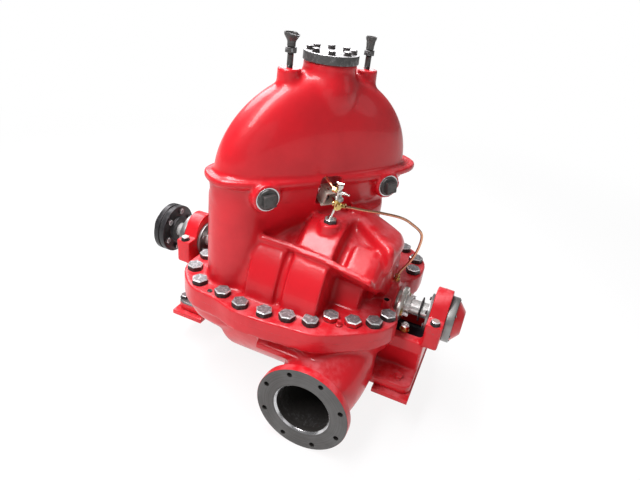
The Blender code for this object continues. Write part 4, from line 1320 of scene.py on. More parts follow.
@dataclass
class SplitFlange:
    """The wavy bolted flange between the casing halves."""

    thickness: float = 0.040
    margin: float = 0.040
    swell: dict = field(default_factory=lambda: {6: 0.010, 7: 0.022, 8: 0.050, 9: 0.018})
    end_x: float = 0.368
    end_half_width: float = 0.078
    lug_reach: float = 0.032
    lug_width: float = 0.058
    half_bolt_row: tuple = (
        (-0.378, -0.184), (-0.367, -0.279), (-0.298, -0.348), (-0.189, -0.366),
        (-0.102, -0.391), (-0.008, -0.389), (0.070, -0.369), (0.150, -0.351),
        (0.201, -0.290), (0.278, -0.276), (0.344, -0.240), (0.376, -0.177),
    )
    skirt: tuple = ((-0.020, 0.995), (-0.038, 0.988), (-0.060, 0.975), (-0.095, 0.945),
                    (-0.130, 0.875), (-0.160, 0.770))
    recess: float = 0.150
    recess_rise: tuple = (-0.230, -0.080)
    recess_fall: tuple = (0.070, 0.190)
    recess_kept: float = 0.22

    def bolt_places(self) -> list:
        """The bolt centres in plan, all round."""
        return list(self.half_bolt_row) + [(-x, -y) for x, y in self.half_bolt_row]

    def outline(self) -> list:
        """The flange's edge in plan: the bolt row carried outwards, the same after half a turn.

        Returns:
            The edge's points.
        """
        row = self.half_bolt_row
        half = []
        for i, (x, y) in enumerate(row):
            before = Vector(row[max(i - 1, 0)])
            after = Vector(row[min(i + 1, len(row) - 1)])
            along = (after - before).normalized()
            outward = Vector((along.y, -along.x))
            if i in (0, len(row) - 1):
                outward = (outward + Vector((math.copysign(1.0, x), -0.25))).normalized()
            half.append(Vector((x, y)) + outward * (self.margin + self.swell.get(i, 0.0)))
        out, wide = self.end_x, self.end_half_width
        lug = [Vector((out + self.lug_reach, -wide - self.lug_width)), Vector((out, -wide)),
               Vector((out, wide)), Vector((out + self.lug_reach, wide + self.lug_width))]
        corners = half + lug + [-point for point in half] + [-point for point in lug]
        return closed_curve(corners, 12)

    def plate(self, low: float, high: float) -> Shape:
        """The flange as a plate between two heights."""
        return extruded([(p.x, p.y, low) for p in self.outline()], Vector((0.0, 0.0, high - low)))

    def basin(self) -> Shape:
        """The casing wall that draws in below the flange.

        Returns:
            A closed mesh.
        """
        rings = []
        for height, share in self.skirt:
            depth = min(-height / 0.060, 1.0)
            rings.append([(p.x * share, p.y * (share - self.recess * depth * self.fronting(p)), height)
                          for p in self.outline()])
        return lofted(rings)

    def fronting(self, place: Vector) -> float:
        """How far a place of the edge belongs to the nozzle side, where the wall draws in.

        Args:
            place: A place of the edge.

        Returns:
            A share from 0 to 1.
        """
        along = place.x if place.y < 0.0 else -place.x
        rise, fall = (smooth_share(along, *span) for span in (self.recess_rise, self.recess_fall))
        return rise * (1.0 - (1.0 - self.recess_kept) * fall)


@dataclass
class CasingForms:
    """What both casing halves share."""

    arch: Arch = field(default_factory=Arch)
    flange: SplitFlange = field(default_factory=SplitFlange)
    voxel: float = 0.0056
    allowance: float = 0.012
    seam: float = 0.00015
    barrel_radius: float = 0.322
    end_width: float = 0.178
    end_height: float = 0.284
    end_x: float = 0.338
    waist: float = 1.0
    waist_span: tuple = (0.060, 0.220)
    stuffing_radius: float = 0.080
    bore_radius: float = 0.047

    def end_body(self) -> Shape:
        """The blunt outboard end of the casing about the stuffing box.

        Returns:
            A closed mesh.
        """
        end = self.end_x
        stations = [(0.140, 1.0, 1.04), (0.200, 1.0, 1.02), (end - 0.090, 0.985, 0.99),
                    (end - 0.050, 0.94, 0.93), (end - 0.027, 0.87, 0.86), (end - 0.012, 0.78, 0.78),
                    (end - 0.003, 0.68, 0.70), (end, 0.58, 0.62)]
        return lofted([[(x, y * self.narrowed(z), z)
                        for y, z in oval(self.end_width * wide, self.end_height * tall, 2.3)]
                       for x, wide, tall in stations])

    def narrowed(self, height: float) -> float:
        """The share of its width that the end keeps at a height; it draws in towards the flange."""
        low, high = self.waist_span
        return self.waist + (1.0 - self.waist) * smooth_share(height, low, high)

    def stuffing_box(self) -> Shape:
        """The round end of the casing that holds the packing."""
        return round_bar(self.stuffing_radius, (0.260, 0.0, 0.0), (self.flange.end_x + 0.003, 0.0, 0.0))

    def shaft_channel(self) -> Shape:
        """What the shaft and its packing take from both halves."""
        return round_bar(self.bore_radius, (-0.70, 0.0, 0.0), (0.70, 0.0, 0.0), 96)

    def both_ways(self, forms: list) -> list:
        """The forms and their copies after half a turn."""
        return forms + [half_turned(form) for form in forms]


@dataclass
class UpperCasing(CasingForms):
    """The upper casing half: volute bands, rib, ridge and crossover arch."""

    waist: float = 0.52
    barrel_half_length: float = 0.160
    band_radius: float = 0.342
    bands: tuple = ((-0.122, -0.006, 44.0), (0.026, 0.158, 73.0))
    crown_radius: float = 0.300
    valley_radius: float = 0.286
    valley_span: tuple = (0.150, 0.302)
    panel_arc: tuple = (38.0, 63.0)
    panel_line: tuple = ((0.204, 0.302), (0.282, 0.302), (0.304, 0.293), (0.320, 0.272), (0.330, 0.230))
    low_panel_radius: float = 0.212
    low_panel_span: tuple = (0.170, 0.268)
    low_panel_top: float = 36.0
    ridge_plan: tuple = ((0.120, -0.013), (0.154, -0.037), (0.345, -0.172), (0.355, -0.120),
                         (0.352, 0.020), (0.320, 0.070), (0.120, 0.100))
    ridge_peak: tuple = (0.154, -0.037, 0.340)
    ridge_fall: tuple = (0.340, 0.130)
    ridge_round: float = 0.030
    undercut: tuple = (0.352, 0.0, 0.230)
    undercut_slope: float = 0.33
    rib_radius: float = 0.358
    rib_inner: float = 0.180
    rib_thickness: float = 0.022
    rib_line: tuple = ((-0.124, 46.3), (0.010, 46.3), (0.140, 44.8), (0.270, 41.5), (0.318, 40.2))
    valve_boss: tuple = (0.103, -0.150, 0.328)
    valve_boss_radius: float = 0.037
    tube_pad: tuple = (0.352, -0.010, 0.098)

    def sector(self, line: tuple, low: float, high: float) -> Shape:
        """A slice of a turned body about the shaft, on the front side.

        Args:
            line: Its stations along the shaft, each with the radius there.
            low: The elevation where it starts, in degrees.
            high: The elevation where it ends, in degrees.

        Returns:
            A closed mesh.
        """
        steps = 48
        arc = [math.radians(low + (high - low) * i / steps) for i in range(steps + 1)]
        return lofted([[(x, -radius * math.cos(a), radius * math.sin(a)) for a in arc] + [(x, 0.0, 0.0)]
                       for x, radius in line])

    def ridge(self) -> Shape:
        """The shoulder behind the slanting wall, which falls towards the outboard end.

        Returns:
            A closed mesh.
        """
        shape = extruded([(x, y, 0.0) for x, y in self.ridge_plan], Vector((0.0, 0.0, 0.5)))
        trimmed(shape, self.ridge_peak, (*self.ridge_fall, 1.0))
        trimmed(shape, self.undercut, (1.0, 0.0, -self.undercut_slope))
        shape.edges.ensure_lookup_table()
        rim = [edge for edge in shape.edges if max(v.co.z for v in edge.verts) > 0.01]
        rounded(shape, rim, self.ridge_round, 5)
        return shape

    def rib(self) -> Shape:
        """The web along the front, which dips towards the outboard end.

        Returns:
            A closed mesh.
        """
        sections = []
        for x, elevation in self.rib_line:
            angle = math.radians(elevation)
            out = Vector((0.0, -math.cos(angle), math.sin(angle)))
            under = Vector((0.0, -math.sin(angle), -math.cos(angle))) * self.rib_thickness
            base = Vector((x, 0.0, 0.0))
            sections.append([base + out * self.rib_inner, base + out * self.rib_radius,
                             base + out * self.rib_radius + under, base + out * self.rib_inner + under])
        return lofted(sections)

    def soft_forms(self) -> list:
        """The forms that melt into each other with broad fillets.

        Returns:
            Their shapes.
        """
        length, radius = self.barrel_half_length, self.barrel_radius
        half = [self.end_body(), self.ridge(),
                self.sector(((-length, radius), (length, radius)), 0.0, 46.0),
                self.sector(((0.010, radius), (length, radius)), 40.0, 90.0),
                self.sector(((-length, self.crown_radius), (0.030, self.crown_radius)), 40.0, 90.0),
                self.sector([(x, self.valley_radius) for x in self.valley_span], 42.0, 90.0)]
        return (self.both_ways(half) + self.arch.legs() + [self.arch.dome(), self.arch.neck()]
                + self.arch.bosses())

    def crisp_forms(self) -> list:
        """The forms whose edges stay clear.

        Returns:
            Their shapes.
        """
        half = [self.sector(((low, self.band_radius), (high, self.band_radius)), 0.0, top)
                for low, high, top in self.bands]
        half += [self.rib(), self.stuffing_box(), self.tube_pads(),
                 self.sector(self.panel_line, *self.panel_arc),
                 self.sector([(x, self.low_panel_radius) for x in self.low_panel_span], 0.0,
                             self.low_panel_top)]
        x, y, top = self.valve_boss
        boss = round_bar(self.valve_boss_radius + 0.003, (x, y, 0.200), (x, y, top),
                         tip_radius=self.valve_boss_radius)
        plate = self.flange.plate(-self.allowance, self.flange.thickness)
        return (self.both_ways(half) + [boss, plate, self.arch.rim(), self.arch.collar()]
                + self.arch.bosses() + self.arch.pads())

    def tube_pads(self) -> Shape:
        """The pad beside the stuffing box that a bypass tube screws into."""
        x, y, top = self.tube_pad
        return block((x - 0.028, y - 0.024, 0.020), (x + 0.015, y + 0.024, top), 0.006)

    def mesh(self) -> Shape:
        """The finished skin.

        Returns:
            The skin, with its finish numbers.
        """
        soft = relaxed(fused("soft", self.soft_forms(), self.voxel), 12, 0.45, 0.6)
        crisp = fused("upper_casing_skin", [as_shape(soft)] + self.crisp_forms(), self.voxel)
        relaxed(crisp, 7, 0.16, 0.6)
        cut = carved(crisp, [self.arch.window(), self.shaft_channel()])
        return trimmed(as_shape(cut), (0.0, 0.0, self.seam), (0.0, 0.0, -1.0))

    def build(self, palette: Palette) -> None:
        """Make the skin that stands for the upper casing."""
        placed("upper_casing_skin", self.mesh(), [palette.enamel], ("upper_casing",),
               sharp=50.0)


@dataclass
class LowerCasing(CasingForms):
    """The lower casing half: belly, nozzles and bearing brackets."""

    voxel: float = 0.0056
    belly: tuple = ((0.0, 0.310), (0.240, 0.310), (0.322, 0.260), (0.374, 0.200))
    shelf_span: tuple = (-0.030, 0.160)
    shelf_edge: tuple = ((-0.340, -0.070), (-0.392, -0.096), (-0.392, -0.120), (-0.340, -0.150))
    nozzle_x: float = 0.204
    nozzle_drop: float = 0.232
    nozzle_face: float = 0.477
    nozzle_radius: float = 0.1715
    nozzle_thickness: float = 0.030
    nozzle_bore: float = 0.098
    nozzle_bore_depth: float = 0.190
    neck_line: tuple = (
        (-0.460, 0.204, -0.232, 0.135, 0.135), (-0.425, 0.204, -0.231, 0.136, 0.137),
        (-0.390, 0.208, -0.224, 0.138, 0.138), (-0.350, 0.216, -0.208, 0.144, 0.146),
        (-0.300, 0.221, -0.190, 0.150, 0.152), (-0.240, 0.221, -0.170, 0.156, 0.158),
        (-0.100, 0.204, -0.140, 0.150, 0.170),
    )
    bracket_half_width: float = 0.124
    bracket_root: float = 0.094
    bracket_top: float = -0.062
    bracket_wall: float = 0.034
    bracket_floor: float = -0.150
    bearing_x: float = 0.537
    bearing_width: float = 0.060
    housing_radius: float = 0.106
    ear_half_width: float = 0.130
    ear_depth: float = 0.070
    foot_x: float = 0.452
    foot_length: float = 0.130
    foot_half_width: float = 0.205
    foot_corner: float = 0.035
    foot_top: float = -0.215
    foot_thickness: float = 0.038
    shaft_bore: float = 0.0306

    def shelf(self) -> Shape:
        """The sloping lip below the flange on the suction side."""
        low, high = self.shelf_span
        outline = [(low, y, z) for y, z in self.shelf_edge] + [(low, -0.20, -0.19), (low, -0.20, -0.06)]
        return extruded(outline, Vector((high - low, 0.0, 0.0)))

    def nozzle_neck(self) -> Shape:
        """The neck that spreads from the flange circle into the casing wall."""
        return lofted([[(x + u, y, z + v) for u, v in oval(wide, tall, 2.2)]
                       for y, x, z, wide, tall in self.neck_line])

    def nozzle_root(self) -> Shape:
        """The plain disc inside the nozzle's flange, for the fillet behind it."""
        start = (self.nozzle_x, -self.nozzle_face + self.nozzle_thickness, -self.nozzle_drop)
        return round_bar(self.nozzle_radius - 0.006, start,
                         (self.nozzle_x, -self.nozzle_face + 0.004, -self.nozzle_drop), 128)

    def nozzle_hole(self) -> Shape:
        """The bore of the nozzle."""
        return round_bar(self.nozzle_bore, (self.nozzle_x, -self.nozzle_face - 0.02, -self.nozzle_drop),
                         (self.nozzle_x, -self.nozzle_face + self.nozzle_bore_depth, -self.nozzle_drop), 128)

    def bracket(self) -> list:
        """One bearing bracket: trough, foot and the lower half of the bearing housing.

        Returns:
            Their shapes.
        """
        inner = self.bearing_x - self.bearing_width / 2.0
        outer = inner + self.bearing_width
        wide = self.bracket_half_width
        low, root = self.foot_top - 0.012, self.bracket_root
        arm = lofted([[(0.280, -y, z), (inner + 0.012, -y, z), (inner + 0.012, y, z), (0.280, y, z)]
                      for y, z in ((root, low), (wide, self.bracket_top - 0.050), (wide, self.bracket_top))])
        reach = self.foot_length / 2.0
        foot = block((self.foot_x - reach - 0.060, -self.foot_half_width, self.foot_top - self.foot_thickness),
                     (self.foot_x + reach, self.foot_half_width, self.foot_top))
        upright = [edge for edge in foot.edges
                   if abs(edge.verts[0].co.z - edge.verts[1].co.z) > self.foot_thickness / 2.0]
        rounded(foot, upright, self.foot_corner, 8)
        housing = round_bar(self.housing_radius, (inner, 0.0, 0.0), (outer, 0.0, 0.0), 96)
        ears = block((inner, -self.ear_half_width, -self.ear_depth),
                     (outer, self.ear_half_width, self.allowance), 0.006)
        return [arm, foot, housing, ears]

    def pocket(self) -> Shape:
        """The open trough below the gland."""
        wide = self.bracket_half_width - self.bracket_wall
        return block((self.flange.end_x, -wide, self.bracket_floor),
                     (self.bearing_x - self.bearing_width / 2.0, wide, 0.1), 0.012, 5)

    def bearing_bore(self) -> Shape:
        """The hole for the shaft through the bearing housing."""
        reach = self.bearing_x + self.bearing_width
        return round_bar(self.shaft_bore, (self.flange.end_x, 0.0, 0.0), (reach, 0.0, 0.0), 96)

    def mesh(self) -> Shape:
        """The finished skin.

        Returns:
            The skin, all in finish 0; build gives it its other finish numbers.
        """
        profile = list(self.belly) + [(radius, -x) for radius, x in reversed(self.belly)]
        belly = revolved(profile, matrix=Matrix.Rotation(math.pi / 2, 4, "Y"))
        forms = [self.end_body(), self.nozzle_neck()]
        soft = fused("soft", self.both_ways(forms) + [belly, self.flange.basin()], self.voxel)
        relaxed(soft, 12, 0.45, 0.6)
        crisp_forms = [self.stuffing_box(), self.shelf(), self.nozzle_root()] + self.bracket()
        plate = self.flange.plate(-self.flange.thickness, self.allowance)
        crisp = fused("lower_casing_skin", [as_shape(soft), plate] + self.both_ways(crisp_forms), self.voxel)
        relaxed(crisp, 7, 0.16, 0.6)
        holes = [self.nozzle_hole(), self.pocket(), self.bearing_bore()]
        shape = as_shape(carved(crisp, self.both_ways(holes) + [self.shaft_channel()]))
        for side in (-1.0, 1.0):
            front = self.nozzle_face - self.nozzle_thickness + 0.003
            trimmed(shape, (0.0, side * front, 0.0), (0.0, side, 0.0))
        return trimmed(shape, (0.0, 0.0, -self.seam), (0.0, 0.0, 1.0))

    def in_passage(self, face: bmesh.types.BMFace) -> bool:
        """Whether a face lies inside a nozzle's bore.

        Args:
            face: The face.

        Returns:
            True where it does.
        """
        middle = face.calc_center_median()
        side = math.copysign(1.0, -middle.y)
        away = math.hypot(middle.x - side * self.nozzle_x, middle.z + self.nozzle_drop)
        deep = self.nozzle_face - self.nozzle_bore_depth - 0.001
        return away < self.nozzle_bore + 0.001 and deep < abs(middle.y) < self.nozzle_face - 0.0005

    def in_trough(self, face: bmesh.types.BMFace) -> bool:
        """Whether a face is the floor of a bracket's trough.

        Args:
            face: The face.

        Returns:
            True where it is.
        """
        middle = face.calc_center_median()
        reach = self.bearing_x - self.bearing_width / 2.0
        wide = self.bracket_half_width - self.bracket_wall
        return (self.flange.end_x < abs(middle.x) < reach and abs(middle.y) < wide
                and self.bracket_floor - 0.001 < middle.z < self.bracket_floor + 0.030)

    def build(self, palette: Palette) -> None:
        """Make the skin that stands for the lower casing."""
        # the nozzle bores get the near-black finish, painted shade; the trough floor gets the oily one
        skin = stained(stained(self.mesh(), 1, self.in_passage), 2, self.in_trough)
        placed("lower_casing_skin", skin, [palette.lower_enamel, palette.passage, palette.trough],
               ("lower_casing",), sharp=50.0)



@dataclass
class NozzleFlange:
    """The crisp round flange of a nozzle, with its machined face, tapped holes and dark bore."""

    casing: LowerCasing = field(default_factory=LowerCasing)
    bore_chamfer: float = 0.0080
    hole_circle: float = 0.14925
    hole_radius: float = 0.0095
    hole_depth: float = 0.022
    hole_count: int = 8
    proud: float = 0.0003

    def hole_places(self) -> list:
        """The tapped holes' centres, as (x, z) from the nozzle's axis; none lies at the very top."""
        turn = 2.0 * math.pi / self.hole_count
        return [(self.hole_circle * math.cos(turn * (k + 0.5)), self.hole_circle * math.sin(turn * (k + 0.5)))
                for k in range(self.hole_count)]

    def flange(self) -> Shape:
        """The suction flange with its holes cut.

        Returns:
            The flange, with its finish numbers.
        """
        body = self.casing
        inner, outer, thick = body.nozzle_bore - self.proud, body.nozzle_radius, body.nozzle_thickness
        centre = Vector((body.nozzle_x, -body.nozzle_face, -body.nozzle_drop))
        into = Vector((0.0, 1.0, 0.0))
        outline = [(inner, self.bore_chamfer), (inner + self.bore_chamfer, 0.0), (outer, 0.0),
                   (outer, thick), (inner, thick)]
        ring = ring_round(outline, centre, into, 0.0016, 144)
        holes = []
        for x, z in self.hole_places():
            spot = centre + Vector((x, 0.0, z))
            holes.append(round_bar(self.hole_radius, spot - into * 0.01, spot + into * self.hole_depth, 28))
        shape = as_shape(carved(mesh_from("flange", [ring]), holes))
        shape.normal_update()

        def depth(face: bmesh.types.BMFace) -> float:
            """How far a face lies behind the flange's front."""
            return face.calc_center_median().y - centre.y

        def away(face: bmesh.types.BMFace) -> float:
            """How far a face lies from the nozzle's axis."""
            middle = face.calc_center_median()
            return math.hypot(middle.x - centre.x, middle.z - centre.z)

        stained(shape, 1, lambda face: face.normal.y < -0.9)
        chamfer = self.bore_chamfer
        stained(shape, 2, lambda face: away(face) < inner + chamfer and depth(face) < chamfer)
        # the bore and the tapped holes take the near-black finish, painted shade
        stained(shape, 3, lambda face: away(face) < inner + 0.0005 and depth(face) > chamfer)
        reach = self.hole_radius + 0.0005
        stained(shape, 3, lambda face: 0.0005 < depth(face) < self.hole_depth + 0.0005
                and self.hole_circle - reach < away(face) < self.hole_circle + reach)
        return shape

    def build(self, palette: Palette) -> None:
        """Make both nozzles' flanges.

        Args:
            palette: The finishes.
        """
        suction = self.flange()
        for name, ring, face in (("discharge", half_turned(suction), palette.faces[1]),
                                 ("suction", suction, palette.faces[0])):
            placed(f"{name}_flange", ring, [palette.enamel, face, palette.bare, palette.passage],
                   sharp=30.0)


@dataclass
class CasingBolts:
    """The cap screws of the split flange, and what else stands on it."""

    flange: SplitFlange = field(default_factory=SplitFlange)
    head: HexHead = HexHead(0.0605, 0.0200, 0.0034)
    washer_radius: float = 0.0280
    washer_height: float = 0.0014
    turn_step: float = 2.399
    # painted reflection: the sides of these bolts take the red enamel, for the red flange that they reflect
    red_bolts: tuple = (8, 9, 20, 21)
    dowel: tuple = (-0.2363, -0.3761)
    plug: tuple = (0.2401, -0.3105)
    stub: tuple = (0.3490, -0.1185)
    stub_height: float = 0.034

    def build(self, palette: Palette) -> None:
        """Make the bolts, the dowels, the small plugs and the drain stubs.

        Args:
            palette: The finishes.
        """
        top = self.flange.thickness
        bolts = []
        for number, (x, y) in enumerate(self.flange.bolt_places()):
            bolts.append(stained(round_bar(self.washer_radius, (x, y, top - 0.001),
                                           (x, y, top + self.washer_height), 48), 2))
            head = self.head.shape((x, y, top + self.washer_height - HEAD_SINK), (0.0, 0.0, 1.0),
                                   number * self.turn_step)
            # painted reflection: red enamel on the sides
            if number in self.red_bolts:
                stained(head, 3, lambda face: face.material_index == 2)
            bolts.append(head)
        placed("casing_bolts", melted(bolts), palette.bolt() + [palette.enamel])
        x, y = self.dowel
        pin = capped_round([(0.0, 0.0005), (0.0042, 0.0005), (0.0058, 0.0034), (0.0082, 0.0040),
                            (0.0092, 0.0030), (0.0092, -0.003), (0.0, -0.003)], (x, y, top), (0, 0, 1), 48)
        placed("dowel_pins", melted([pin, half_turned(pin)]), [palette.iron])
        x, y = self.plug
        base = capped_round([(0.0, 0.008), (0.0085, 0.008), (0.0120, 0.005), (0.0130, -0.002), (0.0, -0.002)],
                            (x, y, top), (0, 0, 1), 48)
        square = square_head(0.0125, 0.018, 0.0014, Matrix.Translation((x, y, top + 0.003))
                             @ Matrix.Rotation(0.5, 4, "Z"))
        whole = melted([base, square])
        placed("flange_plugs", melted([whole, half_turned(whole)]), [palette.enamel])
        x, y = self.stub
        tube = ring_round([(0.0100, self.stub_height), (0.0165, self.stub_height), (0.0180, -0.002),
                           (0.0100, -0.002)], (x, y, top), (0, 0, 1), 0.0015, 56)
        # the stub's bore takes the near-black finish, painted shade
        stained(tube, 1, lambda face: math.hypot(face.calc_center_median().x - x,
                                                 face.calc_center_median().y - y) < 0.0108)
        base = stained(round_bar(0.0102, (x, y, top - 0.001), (x, y, top + 0.006), 32), 1)
        whole = melted([tube, base])
        placed("drain_stubs", melted([whole, half_turned(whole)]), [palette.enamel, palette.passage])


@dataclass
class ArchFittings:
    """The cover, the vents and the plugs of the crossover arch."""

    arch: Arch = field(default_factory=Arch)
    gap: float = 0.0003
    cover_radius: float = 0.094
    cover_thickness: float = 0.030
    cover_bolts: int = 8
    cover_bolt_circle: float = 0.072
    cover_bolt: HexHead = HexHead(0.0260, 0.0125, 0.0016)
    cover_washer: tuple = (0.0145, 0.0016)
    pipe_radius: float = 0.0105
    pipe_length: float = 0.046
    thread_pitch: float = 0.0018
    nut: HexHead = HexHead(0.040, 0.016, 0.0016)
    cup_length: float = 0.044
    lips: tuple = (("left", -1, 0.026, 0.30), ("right", 1, 0.019, 0.0))
    plug_radius: float = 0.037
    plug_thickness: float = 0.008
    spot_radius: float = 0.0415
    square: float = 0.043
    square_length: float = 0.026
    plug_names: tuple = ("plug_front_left", "plug_front_right", "plug_rear_right", "plug_rear_left")

    def cover(self, palette: Palette) -> None:
        """The turned cover and its ring of bolts.

        Args:
            palette: The finishes.
        """
        thick, radius = self.cover_thickness, self.cover_radius
        base = Vector(self.arch.point(0.0, 0.0, self.arch.neck_top + self.gap))
        disc = capped_round([(0.0, thick), (0.046, thick), (0.048, thick - 0.0012),
                             (radius - 0.003, thick - 0.0012), (radius - 0.001, thick - 0.0022),
                             (radius, thick - 0.005), (radius, 0.0), (0.0, 0.0)], base, (0, 0, 1), 128)
        disc.normal_update()
        # the rim takes the painted-shade finish
        stained(disc, 1, lambda face: abs(face.normal.z) < 0.5)
        placed("top_cover_disc", disc, [palette.cover, palette.cover_side_shade], ("top_cover",))
        bolts = []
        for number in range(self.cover_bolts):
            angle = 2.0 * math.pi * (number + 0.5) / self.cover_bolts
            spot = base + Vector((math.cos(angle), math.sin(angle), 0.0)) * self.cover_bolt_circle
            seat = spot + Vector((0.0, 0.0, thick - 0.0014))
            bolts += washered(self.cover_bolt, seat, self.cover_washer, number * 1.1, 32)
        placed("cover_bolts", melted(bolts), palette.bolt())

    def nipple(self, spot: Vector) -> Shape:
        """A short pipe with a thread at both ends.

        Args:
            spot: The middle of its foot.

        Returns:
            A closed mesh.
        """
        radius, length, pitch = self.pipe_radius, self.pipe_length, self.thread_pitch
        profile = [(0.0, 0.0)]
        for step in range(6):
            low = step * pitch
            profile += [(radius - 0.0008, low), (radius, low + pitch / 2.0)]
        profile += [(radius - 0.0004, 6 * pitch), (radius - 0.0004, length - 4 * pitch)]
        for step in range(4):
            low = length - (4 - step) * pitch
            profile += [(radius, low + pitch / 2.0), (radius - 0.0008, low + pitch)]
        profile.append((0.0, length))
        return capped_round(list(reversed(profile)), spot, (0, 0, 1), 48)

    def cup(self, spot: Vector, lip: float, slant: float) -> Shape:
        """A flared cup, whose lip may slant.

        Args:
            spot: The middle of its foot.
            lip: The lip's radius.
            slant: How far the lip slants, in radians.

        Returns:
            A closed mesh.
        """
        length, stem, bore, wall = self.cup_length, 0.0135, 0.0065, 0.0030
        outline = [(bore, 0.0), (stem - 0.002, 0.0), (stem, 0.003), (stem, 0.30 * length),
                   (stem + 0.001, 0.42 * length), (lip * 0.80, 0.64 * length), (lip * 0.96, 0.80 * length),
                   (lip, length), (lip - wall, length), (lip * 0.93 - wall, 0.80 * length),
                   (lip * 0.74 - wall, 0.64 * length), (bore, 0.46 * length)]
        shape = ring_round(outline, (0, 0, 0), (0, 0, 1), 0.0012, 64)
        if slant:
            trimmed(shape, (lip * 0.4, 0.0, length * 0.93), (math.sin(slant), 0.0, math.cos(slant)))
        bmesh.ops.translate(shape, vec=spot, verts=shape.verts)
        return shape

    def vents(self, palette: Palette) -> None:
        """A pipe, a hex coupling and a cup on each boss.

        Args:
            palette: The finishes.
        """
        for label, side, lip, slant in self.lips:
            low = Vector(self.arch.point(side * self.arch.boss_reach, 0.0, self.arch.boss_top + self.gap))
            coupling = low + Vector((0.0, 0.0, self.pipe_length + self.gap))
            bowl = coupling + Vector((0.0, 0.0, self.nut.height + self.gap))
            placed(f"vent_nipple_{label}", self.nipple(low), [palette.iron],
                   (f"vent_pipe_{label}",))
            placed(f"vent_hex_{label}", self.nut.shape(coupling, (0, 0, 1), 0.3), [palette.iron] * 3,
                   (f"vent_coupling_{label}",))
            placed(f"vent_bowl_{label}", self.cup(bowl, lip, slant), [palette.iron],
                   (f"vent_cup_{label}",))

    def plugs(self, palette: Palette) -> None:
        """The square headed plugs on their bright spot faces.

        Args:
            palette: The finishes.
        """
        c, s = math.cos(self.arch.angle), math.sin(self.arch.angle)
        for name, (along, face) in zip(self.plug_names, self.arch.plug_spots()):
            seat = Vector(self.arch.point(along, face * (self.arch.pad_proud + self.gap),
                                          self.arch.plug_height))
            normal = Vector((s, -c, 0.0)) * face
            stand = Matrix((Vector((c, s, 0.0)) * face, Vector((0.0, 0.0, 1.0)), normal)).transposed().to_4x4()
            stand = Matrix.Translation(seat) @ stand
            thick, radius = self.plug_thickness, self.plug_radius
            disc = capped_round([(0.0, thick), (radius - 0.0035, thick), (radius - 0.0012, thick - 0.0010),
                                 (radius, thick - 0.0035), (radius, -0.002), (0.0, -0.002)], seat, normal)
            ring = ring_round([(radius - 0.001, -0.001), (radius - 0.001, 0.0010), (self.spot_radius, 0.0010),
                               (self.spot_radius, -0.001)], seat, normal, 0.0003)
            head = square_head(self.square, self.square_length, 0.0030,
                               stand @ Matrix.Rotation(0.10, 4, "Z"))
            placed(name + "_dressed", melted([disc, head, stained(ring, 1)]), [palette.iron, palette.bare],
                   (name,))

    def build(self, palette: Palette) -> None:
        """Make everything that is screwed to the arch."""
        self.cover(palette)
        self.vents(palette)
        self.plugs(palette)


